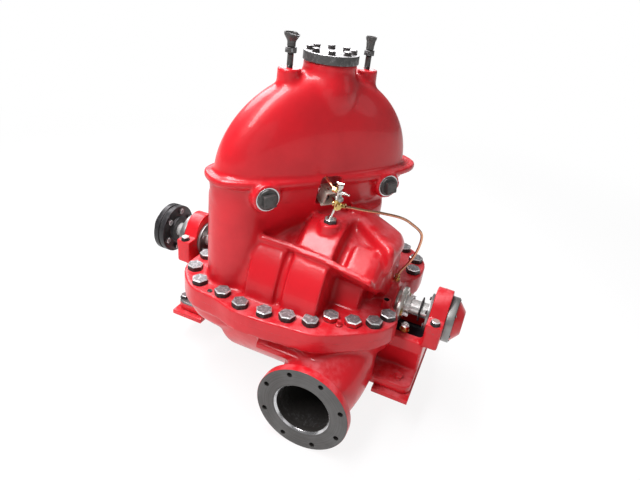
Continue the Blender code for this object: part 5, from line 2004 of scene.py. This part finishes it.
@dataclass
class ValveGroup:
    """The vent valves on the front boss, and the two copper bypass tubes."""

    boss: tuple = (0.103, -0.150, 0.32865)
    bushing: HexHead = HexHead(0.048, 0.014, 0.0020)
    riser_radius: float = 0.0068
    cross: tuple = (0.119, -0.151, 0.403)
    cross_radius: float = 0.0125
    tee: tuple = (0.122, -0.151, 0.449)
    tube_radius: float = 0.0050
    nut: HexHead = HexHead(0.0215, 0.0130, 0.0010)
    outboard_start: tuple = (0.152, -0.154, 0.403)
    outboard_way: tuple = ((0.173, -0.139, 0.399), (0.207, -0.115, 0.391), (0.265, -0.074, 0.380),
                           (0.323, -0.032, 0.363), (0.360, -0.006, 0.339), (0.398, 0.021, 0.298),
                           (0.400, 0.022, 0.244), (0.385, 0.012, 0.188), (0.360, -0.006, 0.142))
    inboard_start: tuple = (0.101, -0.150, 0.455)
    inboard_way: tuple = ((0.076, -0.136, 0.466), (0.036, -0.094, 0.472), (-0.037, -0.016, 0.462),
                          (-0.122, 0.051, 0.440), (-0.200, 0.085, 0.400), (-0.290, 0.060, 0.370),
                          (-0.360, 0.006, 0.339), (-0.398, -0.021, 0.298), (-0.400, -0.022, 0.244),
                          (-0.385, -0.012, 0.188), (-0.360, 0.006, 0.142))
    pad: tuple = (0.352, -0.010, 0.0983)
    fitting_height: float = 0.026

    def bar(self, start: tuple, end: tuple, radius: float, sides: int = 40) -> Shape:
        """A short round stretch of a fitting."""
        return round_bar(radius, start, end, sides)

    def lower(self, palette: Palette) -> None:
        """The hex bushing and the leaning riser.

        Args:
            palette: The finishes.
        """
        seat = Vector(self.boss)
        bushing = self.bushing.shape(seat, (0, 0, 1), 0.25)
        reducer = stained(capped_round([(0.0, 0.019), (0.0105, 0.019), (0.0125, 0.016), (0.0125, 0.010),
                                        (0.0, 0.010)], seat, (0, 0, 1), 40), 1)
        # bushing: pale top, a painted highlight on the bright chamfer, painted shade on the sides
        placed("hex_bushing_dressed", melted([bushing, reducer]),
               [palette.packing, palette.bare, palette.bolt_side], ("hex_bushing",))
        top = seat + Vector((0.0, 0.0, self.bushing.height))
        riser = self.bar(top, self.cross, self.riser_radius)
        collar = self.bar(top + Vector((0.0, 0.0, 0.003)), top + Vector((0.002, 0.0, 0.010)), 0.0092)
        placed("riser_pipe", melted([riser, collar]), [palette.nickel], ("valve_riser",))

    def upper(self, palette: Palette) -> None:
        """The brass cross, the nickel valves and their handles.

        Args:
            palette: The finishes.
        """
        cross, tee = Vector(self.cross), Vector(self.tee)
        right, up, front = Vector((1, 0, 0)), Vector((0, 0, 1)), Vector((0.55, -0.83, 0.0)).normalized()
        brass = [self.bar(cross - up * 0.016, cross + up * 0.017, self.cross_radius),
                 self.bar(cross - right * 0.013, cross + right * 0.020, 0.0095),
                 self.nut.shape(cross + right * 0.018, right, 0.2),
                 self.nut.shape(cross - up * 0.020, up, 0.4),
                 self.bar(cross, cross + front * 0.020, 0.0075),
                 self.nut.shape(cross + front * 0.015, front, 0.1),
                 self.bar(tee - right * 0.004, tee - right * 0.016 + up * 0.004, 0.0085),
                 self.nut.shape(tee - right * 0.012 + up * 0.004, -right, 0.2)]
        steel = [self.bar(cross + up * 0.016, tee + up * 0.006, 0.0098),
                 self.nut.shape(cross + up * 0.017, up, 0.6),
                 self.bar(tee, tee + right * 0.020 - up * 0.002, 0.0072),
                 self.bar(tee + right * 0.020 - up * 0.002, tee + right * 0.036 - up * 0.004, 0.0036),
                 self.bar(tee + up * 0.006, tee + up * 0.016, 0.0066),
                 self.nut.shape(tee + up * 0.014, up, 0.9),
                 self.bar(tee + up * 0.026, tee + up * 0.034, 0.0032),
                 self.bar(tee + up * 0.031 - right * 0.013, tee + up * 0.031 + right * 0.013, 0.0034),
                 self.bar(tee - up * 0.018, tee - up * 0.018 + front * 0.018, 0.0066),
                 self.bar(tee - up * 0.018 + front * 0.018, tee - up * 0.016 + front * 0.026, 0.0100, 24),
                 self.bar(tee + front * 0.006, tee + front * 0.016, 0.0060)]
        for shape in steel:
            stained(shape, 1)
        for shape in brass:
            stained(shape, 0)
        placed("valve_cluster", melted(brass + steel), [palette.brass, palette.nickel],
               ("valve_manifold",))

    def fitting(self, side: int) -> Shape:
        """The brass fitting that a tube ends in, beside the stuffing box.

        Args:
            side: 1 for the outboard tube, -1 for the inboard one.

        Returns:
            A closed mesh.
        """
        x, y, low = self.pad
        seat = Vector((side * x, side * y, low))
        up = Vector((0.0, 0.0, 1.0))
        lower = HexHead(0.024, 0.010, 0.0010).shape(seat, up, 0.2)
        upper = HexHead(0.021, 0.011, 0.0012).shape(seat + up * 0.014, up, 0.5)
        neck = self.bar(seat + up * 0.008, seat + up * 0.016, 0.0075)
        whole = melted([lower, upper, neck])
        return stained(whole, 0)

    def tubes(self, palette: Palette) -> None:
        """Both copper tubes, from the valves to their pads.

        Args:
            palette: The finishes.
        """
        x, y, low = self.pad
        for label, side, start, way in (("outboard", 1, self.outboard_start, self.outboard_way),
                                        ("inboard", -1, self.inboard_start, self.inboard_way)):
            end = Vector((side * x, side * y, low + self.fitting_height - 0.002))
            route = [Vector(start)] + [Vector(point) for point in way] + [end]
            placed(f"copper_tube_{label}", drawn_tube(route, self.tube_radius), [palette.copper],
                   (f"bypass_tube_{label}",), sharp=60.0)
            placed(f"pad_fitting_{label}", self.fitting(side), [palette.brass],
                   (f"tube_fitting_{label}",))

    def build(self, palette: Palette) -> None:
        """Make the valves and the tubes."""
        self.lower(palette)
        self.upper(palette)
        self.tubes(palette)


@dataclass
class TubeBracket:
    """The bare steel bracket in the arch's opening that the inboard tube runs past."""

    arch: Arch = field(default_factory=Arch)
    along: float = 0.018
    across: float = 0.094
    foot: float = 0.3640
    width: float = 0.074
    depth: float = 0.052
    height: float = 0.060
    plate: float = 0.006
    lean: float = 0.35
    hole_radius: float = 0.0075
    nut: HexHead = HexHead(0.022, 0.010, 0.0012)

    def build(self, palette: Palette) -> None:
        """Make the foot, the two cheeks, the top plate with its hole and the clamp nuts.

        Args:
            palette: The finishes.
        """
        turn = (Matrix.Translation(self.arch.point(self.along + self.arch.window_shift, self.across, self.foot))
                @ Matrix.Rotation(self.arch.angle, 4, "Z"))
        wide, deep, tall, thick = self.width / 2.0, self.depth / 2.0, self.height, self.plate
        base = block((-wide, -deep, 0.0), (wide, deep, thick), 0.0014, 3)
        cheeks = [block((side * wide * 0.72 - thick / 2.0, -deep * 0.9, thick * 0.5),
                        (side * wide * 0.72 + thick / 2.0, deep * 0.9, tall), 0.0014, 3) for side in (-1, 1)]
        top = block((-wide * 0.86, -deep, tall - thick), (wide * 0.86, deep, tall), 0.0014, 3)
        hole = round_bar(self.hole_radius, (-wide * 0.35, 0.0, tall - 0.03),
                         (-wide * 0.35, 0.0, tall + 0.03), 32)
        top = as_shape(carved(mesh_from("top", [top]), [hole]))
        whole = melted([base, top] + cheeks)
        bmesh.ops.transform(whole, matrix=Matrix.Rotation(self.lean, 4, "X"), verts=whole.verts)
        nuts = [self.nut.shape((wide * 0.30, 0.0, tall), (0.0, 0.0, 1.0), 0.4),
                self.nut.shape((wide * 0.72 + thick / 2.0, -deep * 0.3, tall * 0.45), (1.0, 0.0, 0.0), 0.2),
                self.nut.shape((-wide * 0.1, deep * 0.2, thick), (0.0, 0.0, 1.0), 0.2)]
        for nut in nuts:
            bmesh.ops.transform(nut, matrix=Matrix.Rotation(self.lean, 4, "X"), verts=nut.verts)
            stained(nut, 1)
        whole = melted([whole] + nuts)
        bmesh.ops.transform(whole, matrix=turn, verts=whole.verts)
        placed("tube_bracket", whole, [palette.bracket, palette.iron])


@dataclass
class Bearings:
    """The bearing caps, their covers and the outboard end cap."""

    casing: LowerCasing = field(default_factory=LowerCasing)
    gap: float = 0.0003
    ear_height: float = 0.033
    crest: float = 0.112
    crown_radius: float = 0.070
    shoulder: float = 0.082
    cap_easing: float = 0.0045
    ear_bolt: HexHead = HexHead(0.034, 0.015, 0.0022)
    ear_washer: tuple = (0.0185, 0.0022)
    ear_bolt_y: float = 0.112
    cover_radius: float = 0.088
    outboard_thickness: float = 0.028
    inboard_thickness: float = 0.022
    cap_bore: float = 0.038
    cone: tuple = (0.078, 0.046, 0.031)
    inner_radius: float = 0.074
    inner_thickness: float = 0.012
    screw: HexHead = HexHead(0.0150, 0.0070, 0.0010)
    screw_circle: float = 0.060
    inboard_screw_circle: float = 0.068
    small_screw_circle: float = 0.0827
    small_screw: HexHead = HexHead(0.0085, 0.0040, 0.0007)

    def cap(self, end: End) -> Shape:
        """The bearing cap: two flat ears and a high crown.

        Args:
            end: Which end of the pump.

        Returns:
            A closed mesh.
        """
        body = self.casing
        middle = self.crest - self.crown_radius
        crown = [(self.crown_radius * math.cos(math.radians(a)),
                  middle + self.crown_radius * math.sin(math.radians(a))) for a in range(162, 17, -6)]
        low, ear = 0.00015, body.ear_half_width
        left = [(-ear, low), (-ear, self.ear_height), (-self.shoulder, self.ear_height)]
        right = [(self.shoulder, self.ear_height), (ear, self.ear_height), (ear, low)]
        start = end.value * body.bearing_x - body.bearing_width / 2.0
        shape = extruded([(start, y, z) for y, z in left + crown + right],
                         Vector((body.bearing_width, 0.0, 0.0)))
        rim = [edge for edge in shape.edges if edge.calc_face_angle(0.0) > math.radians(28)
               and max(v.co.z for v in edge.verts) > 0.005]
        rounded(shape, rim, self.cap_easing, 4)
        reach = Vector((body.bearing_width, 0.0, 0.0))
        face = Vector((start, 0.0, 0.0))
        hole = round_bar(body.shaft_bore, face - reach, face + reach * 2, 96)
        return as_shape(carved(mesh_from("cap", [shape]), [hole]))

    def ear_bolts(self, end: End) -> list:
        """The two bolts that hold a cap down.

        Args:
            end: Which end of the pump.

        Returns:
            Their shapes.
        """
        x = end.value * self.casing.bearing_x
        shapes = []
        for number, y in enumerate((-self.ear_bolt_y, self.ear_bolt_y)):
            seat = Vector((x, y, self.ear_height - 0.0006))
            shapes += washered(self.ear_bolt, seat, self.ear_washer, 0.4 + number)
        return shapes

    def ring_of_screws(self, screw: HexHead, station: float, circle: float, way: float, count: int,
                       start: float) -> list:
        """Screws on a circle about the shaft, whose heads point one way along it.

        Args:
            screw: The head.
            station: Where they lie along the shaft.
            circle: The circle's radius.
            way: The sign of X that they face.
            count: How many there are.
            start: The first one's angle.

        Returns:
            Their shapes.
        """
        shapes = []
        for number in range(count):
            angle = start + 2.0 * math.pi * number / count
            shapes.append(screw.shape((station, circle * math.cos(angle), circle * math.sin(angle)),
                                      (way, 0.0, 0.0), 0.5 * number))
        return shapes

    def covers(self, end: End, palette: Palette) -> None:
        """The inner and outer covers of one bearing, with their screws.

        Args:
            end: Which end of the pump.
            palette: The finishes.
        """
        body, way, label = self.casing, float(end.value), end.name.lower()
        face = body.bearing_x - body.bearing_width / 2.0 - self.gap - self.inner_thickness
        inner = ring_round([(body.shaft_bore, 0.0), (self.inner_radius, 0.0),
                            (self.inner_radius, self.inner_thickness), (body.shaft_bore, self.inner_thickness)],
                           (way * face, 0.0, 0.0), (way, 0.0, 0.0), 0.0018)
        placed(f"inner_cover_{label}", inner, [palette.end_disc],
               (f"inner_bearing_cover_{label}",))
        heads = self.ring_of_screws(self.screw, way * (face + 0.0002), self.screw_circle, -way, 6, 0.52)
        outboard = end is End.OUTBOARD
        thick = self.outboard_thickness if outboard else self.inboard_thickness
        bore = self.cap_bore if outboard else body.shaft_bore
        outer = body.bearing_x + body.bearing_width / 2.0 + self.gap
        disc = ring_round([(bore, 0.0), (self.cover_radius, 0.0), (self.cover_radius, thick), (bore, thick)],
                          (way * outer, 0.0, 0.0), (way, 0.0, 0.0), 0.0022)
        placed(f"end_disc_{label}", disc, [palette.end_disc], (f"end_cover_{label}",))
        if outboard:
            heads += self.ring_of_screws(self.small_screw, outer + thick - 0.0003,
                                         self.small_screw_circle, way, 6, 0.26)
        else:
            heads += self.ring_of_screws(self.screw, -(outer + thick - 0.0003),
                                         self.inboard_screw_circle, way, 6, 0.26)
        placed(f"cover_screws_{label}", melted(heads), palette.bolt())

    def end_cap(self, palette: Palette) -> None:
        """The red cone over the outboard bearing.

        Args:
            palette: The finishes.
        """
        base, tip, length = self.cone
        body = self.casing
        start = body.bearing_x + body.bearing_width / 2.0 + self.outboard_thickness + 2.0 * self.gap
        cone = capped_round([(0.0, length), (tip - 0.003, length), (tip - 0.0008, length - 0.0010),
                             (tip + 0.0018, length - 0.0030), (base - 0.0012, 0.0030), (base, 0.0014),
                             (base, 0.0), (self.cap_bore, 0.0), (self.cap_bore, 0.014), (0.0, 0.014)],
                            (start, 0.0, 0.0), (1.0, 0.0, 0.0), 128)
        placed("end_cone", cone, [palette.enamel], ("end_cap_outboard",))

    def build(self, palette: Palette) -> None:
        """Make both bearings.

        Args:
            palette: The finishes.
        """
        for end in End:
            label = end.name.lower()
            placed(f"cap_{label}", self.cap(end), [palette.enamel], (f"bearing_cap_{label}",),
                   sharp=30.0)
            # cap bolts: pale tops, a painted highlight on the chamfers, painted shade on the sides
            placed(f"cap_bolts_{label}", melted(self.ear_bolts(end)),
                   [palette.packing, palette.bolt_edge, palette.bolt_side])
            self.covers(end, palette)
        self.end_cap(palette)


@dataclass
class Glands:
    """The packing glands with their studs, and the nut that stands in each trough."""

    start: float = 0.384
    thickness: float = 0.016
    half_length: float = 0.082
    half_width: float = 0.060
    bore: float = 0.0375
    easing: float = 0.0022
    collar: float = 0.052
    nose: float = 0.0465
    nose_start: float = 0.348
    stud_y: float = 0.066
    stud_radius: float = 0.0062
    stud_end: float = 0.430
    nut: HexHead = HexHead(0.0240, 0.0110, 0.0014)
    floor: float = -0.150
    standing: tuple = (0.432, -0.079)
    standing_top: float = -0.028
    standing_nut: HexHead = HexHead(0.034, 0.020, 0.0026)

    def build(self, palette: Palette) -> None:
        """Make both glands, their studs and the standing nuts.

        Args:
            palette: The finishes.
        """
        for end in End:
            way, label = float(end.value), end.name.lower()
            outline = [(0.0, y, z) for y, z in oval(self.half_length, self.half_width, 2.0, 96)]
            plate = extruded(outline, Vector((self.thickness, 0.0, 0.0)))
            rim = [edge for edge in plate.edges if edge.calc_face_angle(0.0) > math.radians(40)]
            rounded(plate, rim, self.easing, 3)
            collar = round_bar(self.collar, (0.008, 0.0, 0.0), (self.thickness + 0.006, 0.0, 0.0), 96)
            nose = round_bar(self.nose, (self.nose_start - self.start, 0.0, 0.0), (0.002, 0.0, 0.0), 96)
            hole = round_bar(self.bore, (-0.1, 0.0, 0.0), (0.1, 0.0, 0.0), 96)
            rings = [as_shape(carved(mesh_from("gland", [shape]), [hole.copy()]))
                     for shape in (plate, collar, nose)]
            hole.free()
            whole = melted(rings)
            turn = Matrix.Rotation(0.0 if end is End.OUTBOARD else math.pi, 4, "Z")
            bmesh.ops.transform(whole, matrix=turn @ Matrix.Translation((self.start, 0.0, 0.0)),
                                verts=whole.verts)
            placed(f"packing_gland_{label}", whole, [palette.packing], (f"gland_{label}",),
                   sharp=30.0)
            studs = []
            for y in (-self.stud_y, self.stud_y):
                studs.append(stained(round_bar(self.stud_radius, (way * 0.366, y, 0.0),
                                               (way * self.stud_end, y, 0.0), 32), 1))
                studs.append(self.nut.shape((way * (self.start + self.thickness - 0.0004), y, 0.0),
                                            (way, 0.0, 0.0), 0.3))
            placed(f"gland_studs_{label}", melted(studs), [palette.packing, palette.bolt_edge, palette.brass])
            x, y = self.standing
            spot = Vector((way * x, way * y, self.floor - 0.001))
            top = Vector((way * x, way * y, self.standing_top))
            up = Vector((0.0, 0.0, 1.0))
            parts = [stained(round_bar(0.0085, spot, top, 32), 1),
                     self.standing_nut.shape(top - up * 0.026, up, 0.35),
                     stained(round_bar(0.0185, top - up * 0.030, top - up * 0.026, 32), 2)]
            placed(f"standing_nut_{label}", melted(parts), [palette.bare, palette.bolt_edge, palette.brass])


@dataclass
class Feet:
    """The sole plates and the holding-down bolts."""

    sole_x: float = 0.452
    sole_half_length: float = 0.070
    sole_half_width: float = 0.226
    sole_top: float = -0.2533
    sole_thickness: float = 0.020
    foot_top: float = -0.215
    outboard_bolt: tuple = (0.4615, 0.163)
    inboard_bolt: tuple = (-0.5000, 0.168)
    bolt: HexHead = HexHead(0.036, 0.013, 0.0024)
    washer: tuple = (0.0205, 0.0030)

    def build(self, palette: Palette) -> None:
        """Make the plates and the bolts.

        Args:
            palette: The finishes.
        """
        for end in End:
            way, label = float(end.value), end.name.lower()
            low = self.sole_top - self.sole_thickness
            plate = block((way * self.sole_x - self.sole_half_length, -self.sole_half_width, low),
                          (way * self.sole_x + self.sole_half_length, self.sole_half_width, self.sole_top),
                          0.0015, 3)
            placed(f"sole_{label}", plate, [palette.enamel], (f"sole_plate_{label}",))
            x, reach = self.outboard_bolt if end is End.OUTBOARD else self.inboard_bolt
            heads = []
            for number, y in enumerate((-reach, reach)):
                seat = Vector((x, y, self.foot_top - 0.0008))
                heads += washered(self.bolt, seat, self.washer, 0.7 + number)
            red_bolts = end is End.OUTBOARD
            placed(f"foot_bolts_{label}", melted(heads), [palette.enamel] * 3 if red_bolts else palette.bolt())


@dataclass
class Rotor:
    """The shaft and what turns with it."""

    radius: float = 0.030
    span: tuple = (-0.746, 0.604)
    fit: float = 0.0303
    sleeve_radius: float = 0.0365
    sleeve_span: tuple = (0.326, 0.425)
    slinger_radius: float = 0.048
    slinger_span: tuple = (0.462, 0.470)
    hub_span: tuple = (-0.744, -0.646)
    hub_radius: float = 0.105
    hub_neck: float = 0.058
    hub_neck_length: float = 0.012
    hub_rim: float = 0.062
    groove: tuple = (0.032, 0.008, 0.005)
    pin: HexHead = HexHead(0.026, 0.0100, 0.0012)
    pin_circle: float = 0.082
    pins: int = 6

    def shaft(self, palette: Palette) -> None:
        """The ground shaft with eased ends.

        Args:
            palette: The finishes.
        """
        low, high = self.span
        radius = self.radius
        bar = capped_round([(0.0, high), (radius - 0.002, high), (radius, high - 0.002), (radius, low + 0.002),
                            (radius - 0.002, low), (0.0, low)], (0, 0, 0), (1, 0, 0), 96)
        placed("ground_shaft", bar, [palette.shaft], ("shaft",), TURNING_BODY)

    def rings(self, palette: Palette) -> None:
        """The sleeves in the packing and the rubber slingers.

        Args:
            palette: The finishes.
        """
        for end in End:
            way, label = float(end.value), end.name.lower()
            low, high = self.sleeve_span
            sleeve = ring_round([(self.fit, low), (self.sleeve_radius, low), (self.sleeve_radius, high),
                                 (self.fit, high)], (0, 0, 0), (way, 0, 0), 0.0009)
            placed(f"sleeve_{label}", sleeve, [palette.shaft], (f"shaft_sleeve_{label}",),
                   TURNING_BODY)
            low, high = self.slinger_span
            rubber = ring_round([(self.fit, low), (self.slinger_radius - 0.012, low),
                                 (self.slinger_radius, low + 0.0022), (self.slinger_radius, high - 0.0022),
                                 (self.slinger_radius - 0.012, high), (self.fit, high)],
                                (0, 0, 0), (way, 0, 0), 0.0008)
            placed(f"slinger_ring_{label}", rubber, [palette.rubber], (f"slinger_{label}",),
                   TURNING_BODY)

    def hub(self, palette: Palette) -> None:
        """The coupling hub with its groove and pins.

        Args:
            palette: The finishes.
        """
        low, high = self.hub_span
        start, width, depth = self.groove
        rim_high, rim_low = high - self.hub_neck_length, high - self.hub_rim
        groove_high, groove_low = high - start, high - start - width
        outline = [(self.fit, high), (self.hub_neck, high), (self.hub_neck, rim_high),
                   (self.hub_radius, rim_high), (self.hub_radius, groove_high),
                   (self.hub_radius - depth, groove_high), (self.hub_radius - depth, groove_low),
                   (self.hub_radius, groove_low),
                   (self.hub_radius, rim_low), (self.hub_neck, rim_low), (self.hub_neck, low), (self.fit, low)]
        body = ring_round(outline, (0, 0, 0), (1, 0, 0), 0.0016, 128)
        placed("hub_body", body, [palette.hub], ("coupling_hub",), TURNING_BODY)
        heads = []
        for number in range(self.pins):
            angle = 2.0 * math.pi * number / self.pins + 0.3
            y, z = self.pin_circle * math.cos(angle), self.pin_circle * math.sin(angle)
            heads.append(self.pin.shape((rim_high - 0.0004, y, z), (1, 0, 0), angle))
            heads.append(self.pin.shape((rim_low + 0.0004, y, z), (-1, 0, 0), angle))
        placed("hub_pins", melted(heads), palette.bolt(), (), TURNING_BODY)

    def build(self, palette: Palette) -> None:
        """Make the whole rotor."""
        self.shaft(palette)
        self.rings(palette)
        self.hub(palette)


@dataclass
class Studio:
    """Pale floor, soft lamps, a white surround and the photograph's camera."""

    camera_place: tuple = (0.154, -1.632, 1.3793)
    right: tuple = (0.9120, 0.3937, 0.1150)
    up: tuple = (-0.2835, 0.4026, 0.8704)
    back: tuple = (0.2964, -0.8264, 0.4788)
    focal_pixels: float = 500.0
    photo_width: float = 640.0
    sensor: float = 36.0
    floor_size: float = 40.0
    floor_colour: tuple = (0.95, 0.95, 0.95)
    floor_white: float = 0.88
    white_span: tuple = (1.4, 4.5)
    surround: float = 0.24
    lamp_colour: tuple = (1.0, 0.97, 1.0)
    aim: tuple = (-0.45, 0.0, 0.55)
    lamps: tuple = (("left", (-2.60, 1.00, 2.30), 1.4, 34.0), ("behind", (-1.60, 2.60, 1.80), 1.5, 24.0),
                    ("front", (1.10, -3.00, 1.50), 1.8, 5.0), ("right", (2.60, 0.60, 1.90), 1.4, 5.0))
    ceiling: tuple = (-1.25, -0.90, 3.0)
    ceiling_size: tuple = (0.8, 4.6)
    ceiling_power: float = 215.0

    def camera(self) -> None:
        """The camera at the photograph's viewing angle."""
        data = bpy.data.cameras.new("camera")
        data.sensor_width = self.sensor
        data.lens = self.focal_pixels / self.photo_width * self.sensor
        camera = linked("camera", data)
        turn = Matrix((self.right, self.up, self.back)).transposed().to_4x4()
        camera.matrix_world = Matrix.Translation(self.camera_place) @ turn
        bpy.context.scene.camera = camera

    def floor(self) -> None:
        """The pale floor under the pump, white where no shadow lies."""
        shape = bmesh.new()
        bmesh.ops.create_grid(shape, x_segments=1, y_segments=1, size=self.floor_size / 2)
        bmesh.ops.translate(shape, vec=(0.0, 0.0, CAD_BOX[0][2] - 0.001), verts=shape.verts)
        mesh = bpy.data.meshes.new("floor")
        shape.to_mesh(mesh)
        shape.free()
        material = bpy.data.materials.new("white floor")
        material.use_nodes = True
        graph = Graph(material.node_tree)
        shader = material.node_tree.nodes["Principled BSDF"]
        shader.inputs["Base Color"].default_value = (*self.floor_colour, 1.0)
        shader.inputs["Roughness"].default_value = 0.9
        shader.inputs["Specular IOR Level"].default_value = 0.0
        glow = graph.node("ShaderNodeEmission", {"Color": (1.0, 1.0, 1.0, 1.0), "Strength": 1.0})
        rays = graph.node("ShaderNodeLightPath")
        seen = graph.math("MAXIMUM", graph.math("MAXIMUM", rays.outputs["Is Camera Ray"],
                                                rays.outputs["Is Glossy Ray"]),
                          rays.outputs["Is Transmission Ray"])
        place = graph.node("ShaderNodeTexCoord").outputs["Object"]
        away = graph.node("ShaderNodeVectorMath", {0: place}, operation="LENGTH").outputs["Value"]
        share = graph.times(seen, graph.ramp(away, *self.white_span, self.floor_white, 1.0))
        mix = graph.node("ShaderNodeMixShader", {0: share, 1: shader.outputs[0], 2: glow.outputs[0]})
        graph.feed(material.node_tree.nodes["Material Output"].inputs["Surface"], mix.outputs[0])
        mesh.materials.append(material)
        ground = linked("floor", mesh)
        ground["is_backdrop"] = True

    def light(self) -> None:
        """Soft lamps from above, the front and both sides."""
        self.lamp("ceiling", self.ceiling_size, self.ceiling_power, Matrix.Translation(self.ceiling))
        for name, place, size, power in self.lamps:
            turn = (Vector(self.aim) - Vector(place)).to_track_quat("-Z", "Y").to_matrix().to_4x4()
            self.lamp(name, (size,), power, Matrix.Translation(place) @ turn)

    def lamp(self, name: str, sizes: tuple, power: float, matrix: Matrix) -> None:
        """Hang one soft lamp.

        Args:
            name: Its name.
            sizes: Both sides of a rectangle, or the one size of a disk.
            power: Its power in watts.
            matrix: Its place and the way that it shines.
        """
        data = bpy.data.lights.new(name, "AREA")
        data.shape = "RECTANGLE" if len(sizes) == 2 else "DISK"
        data.size, data.size_y = sizes[0], sizes[-1]
        data.energy = power
        data.color = self.lamp_colour
        linked(name, data).matrix_world = matrix

    def world(self) -> None:
        """White for the camera and softer for the light that it gives."""
        world = bpy.data.worlds.new("studio")
        bpy.context.scene.world = world
        world.use_nodes = True
        graph = Graph(world.node_tree)
        soft = world.node_tree.nodes["Background"]
        soft.inputs["Color"].default_value = (1.0, 1.0, 1.0, 1.0)
        soft.inputs["Strength"].default_value = self.surround
        white = graph.node("ShaderNodeBackground", {"Color": (1.0, 1.0, 1.0, 1.0), "Strength": 1.0})
        rays = graph.node("ShaderNodeLightPath")
        seen = graph.math("MAXIMUM", rays.outputs["Is Camera Ray"], rays.outputs["Is Transmission Ray"])
        mix = graph.node("ShaderNodeMixShader", {0: seen, 1: soft.outputs[0], 2: white.outputs[0]})
        graph.feed(world.node_tree.nodes["World Output"].inputs["Surface"], mix.outputs[0])

    def build(self) -> None:
        """Set the whole studio up."""
        bpy.context.scene.view_settings.view_transform = "Standard"
        self.camera()
        self.floor()
        self.light()
        self.world()


def main() -> None:
    """Build the sub-assemblies in order."""
    logging.basicConfig(level=logging.INFO, format="%(message)s")
    Studio().build()
    palette = Palette()
    for assembly in (UpperCasing(), LowerCasing(), NozzleFlange(), CasingBolts(), ArchFittings(),
                     ValveGroup(), TubeBracket(), Bearings(), Glands(), Feet(), Rotor()):
        assembly.build(palette)
    for low, high in (CAD_BOX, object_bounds()):
        f"{[list(low), list(high)]}\n"


if __name__ == "__main__":
    main()
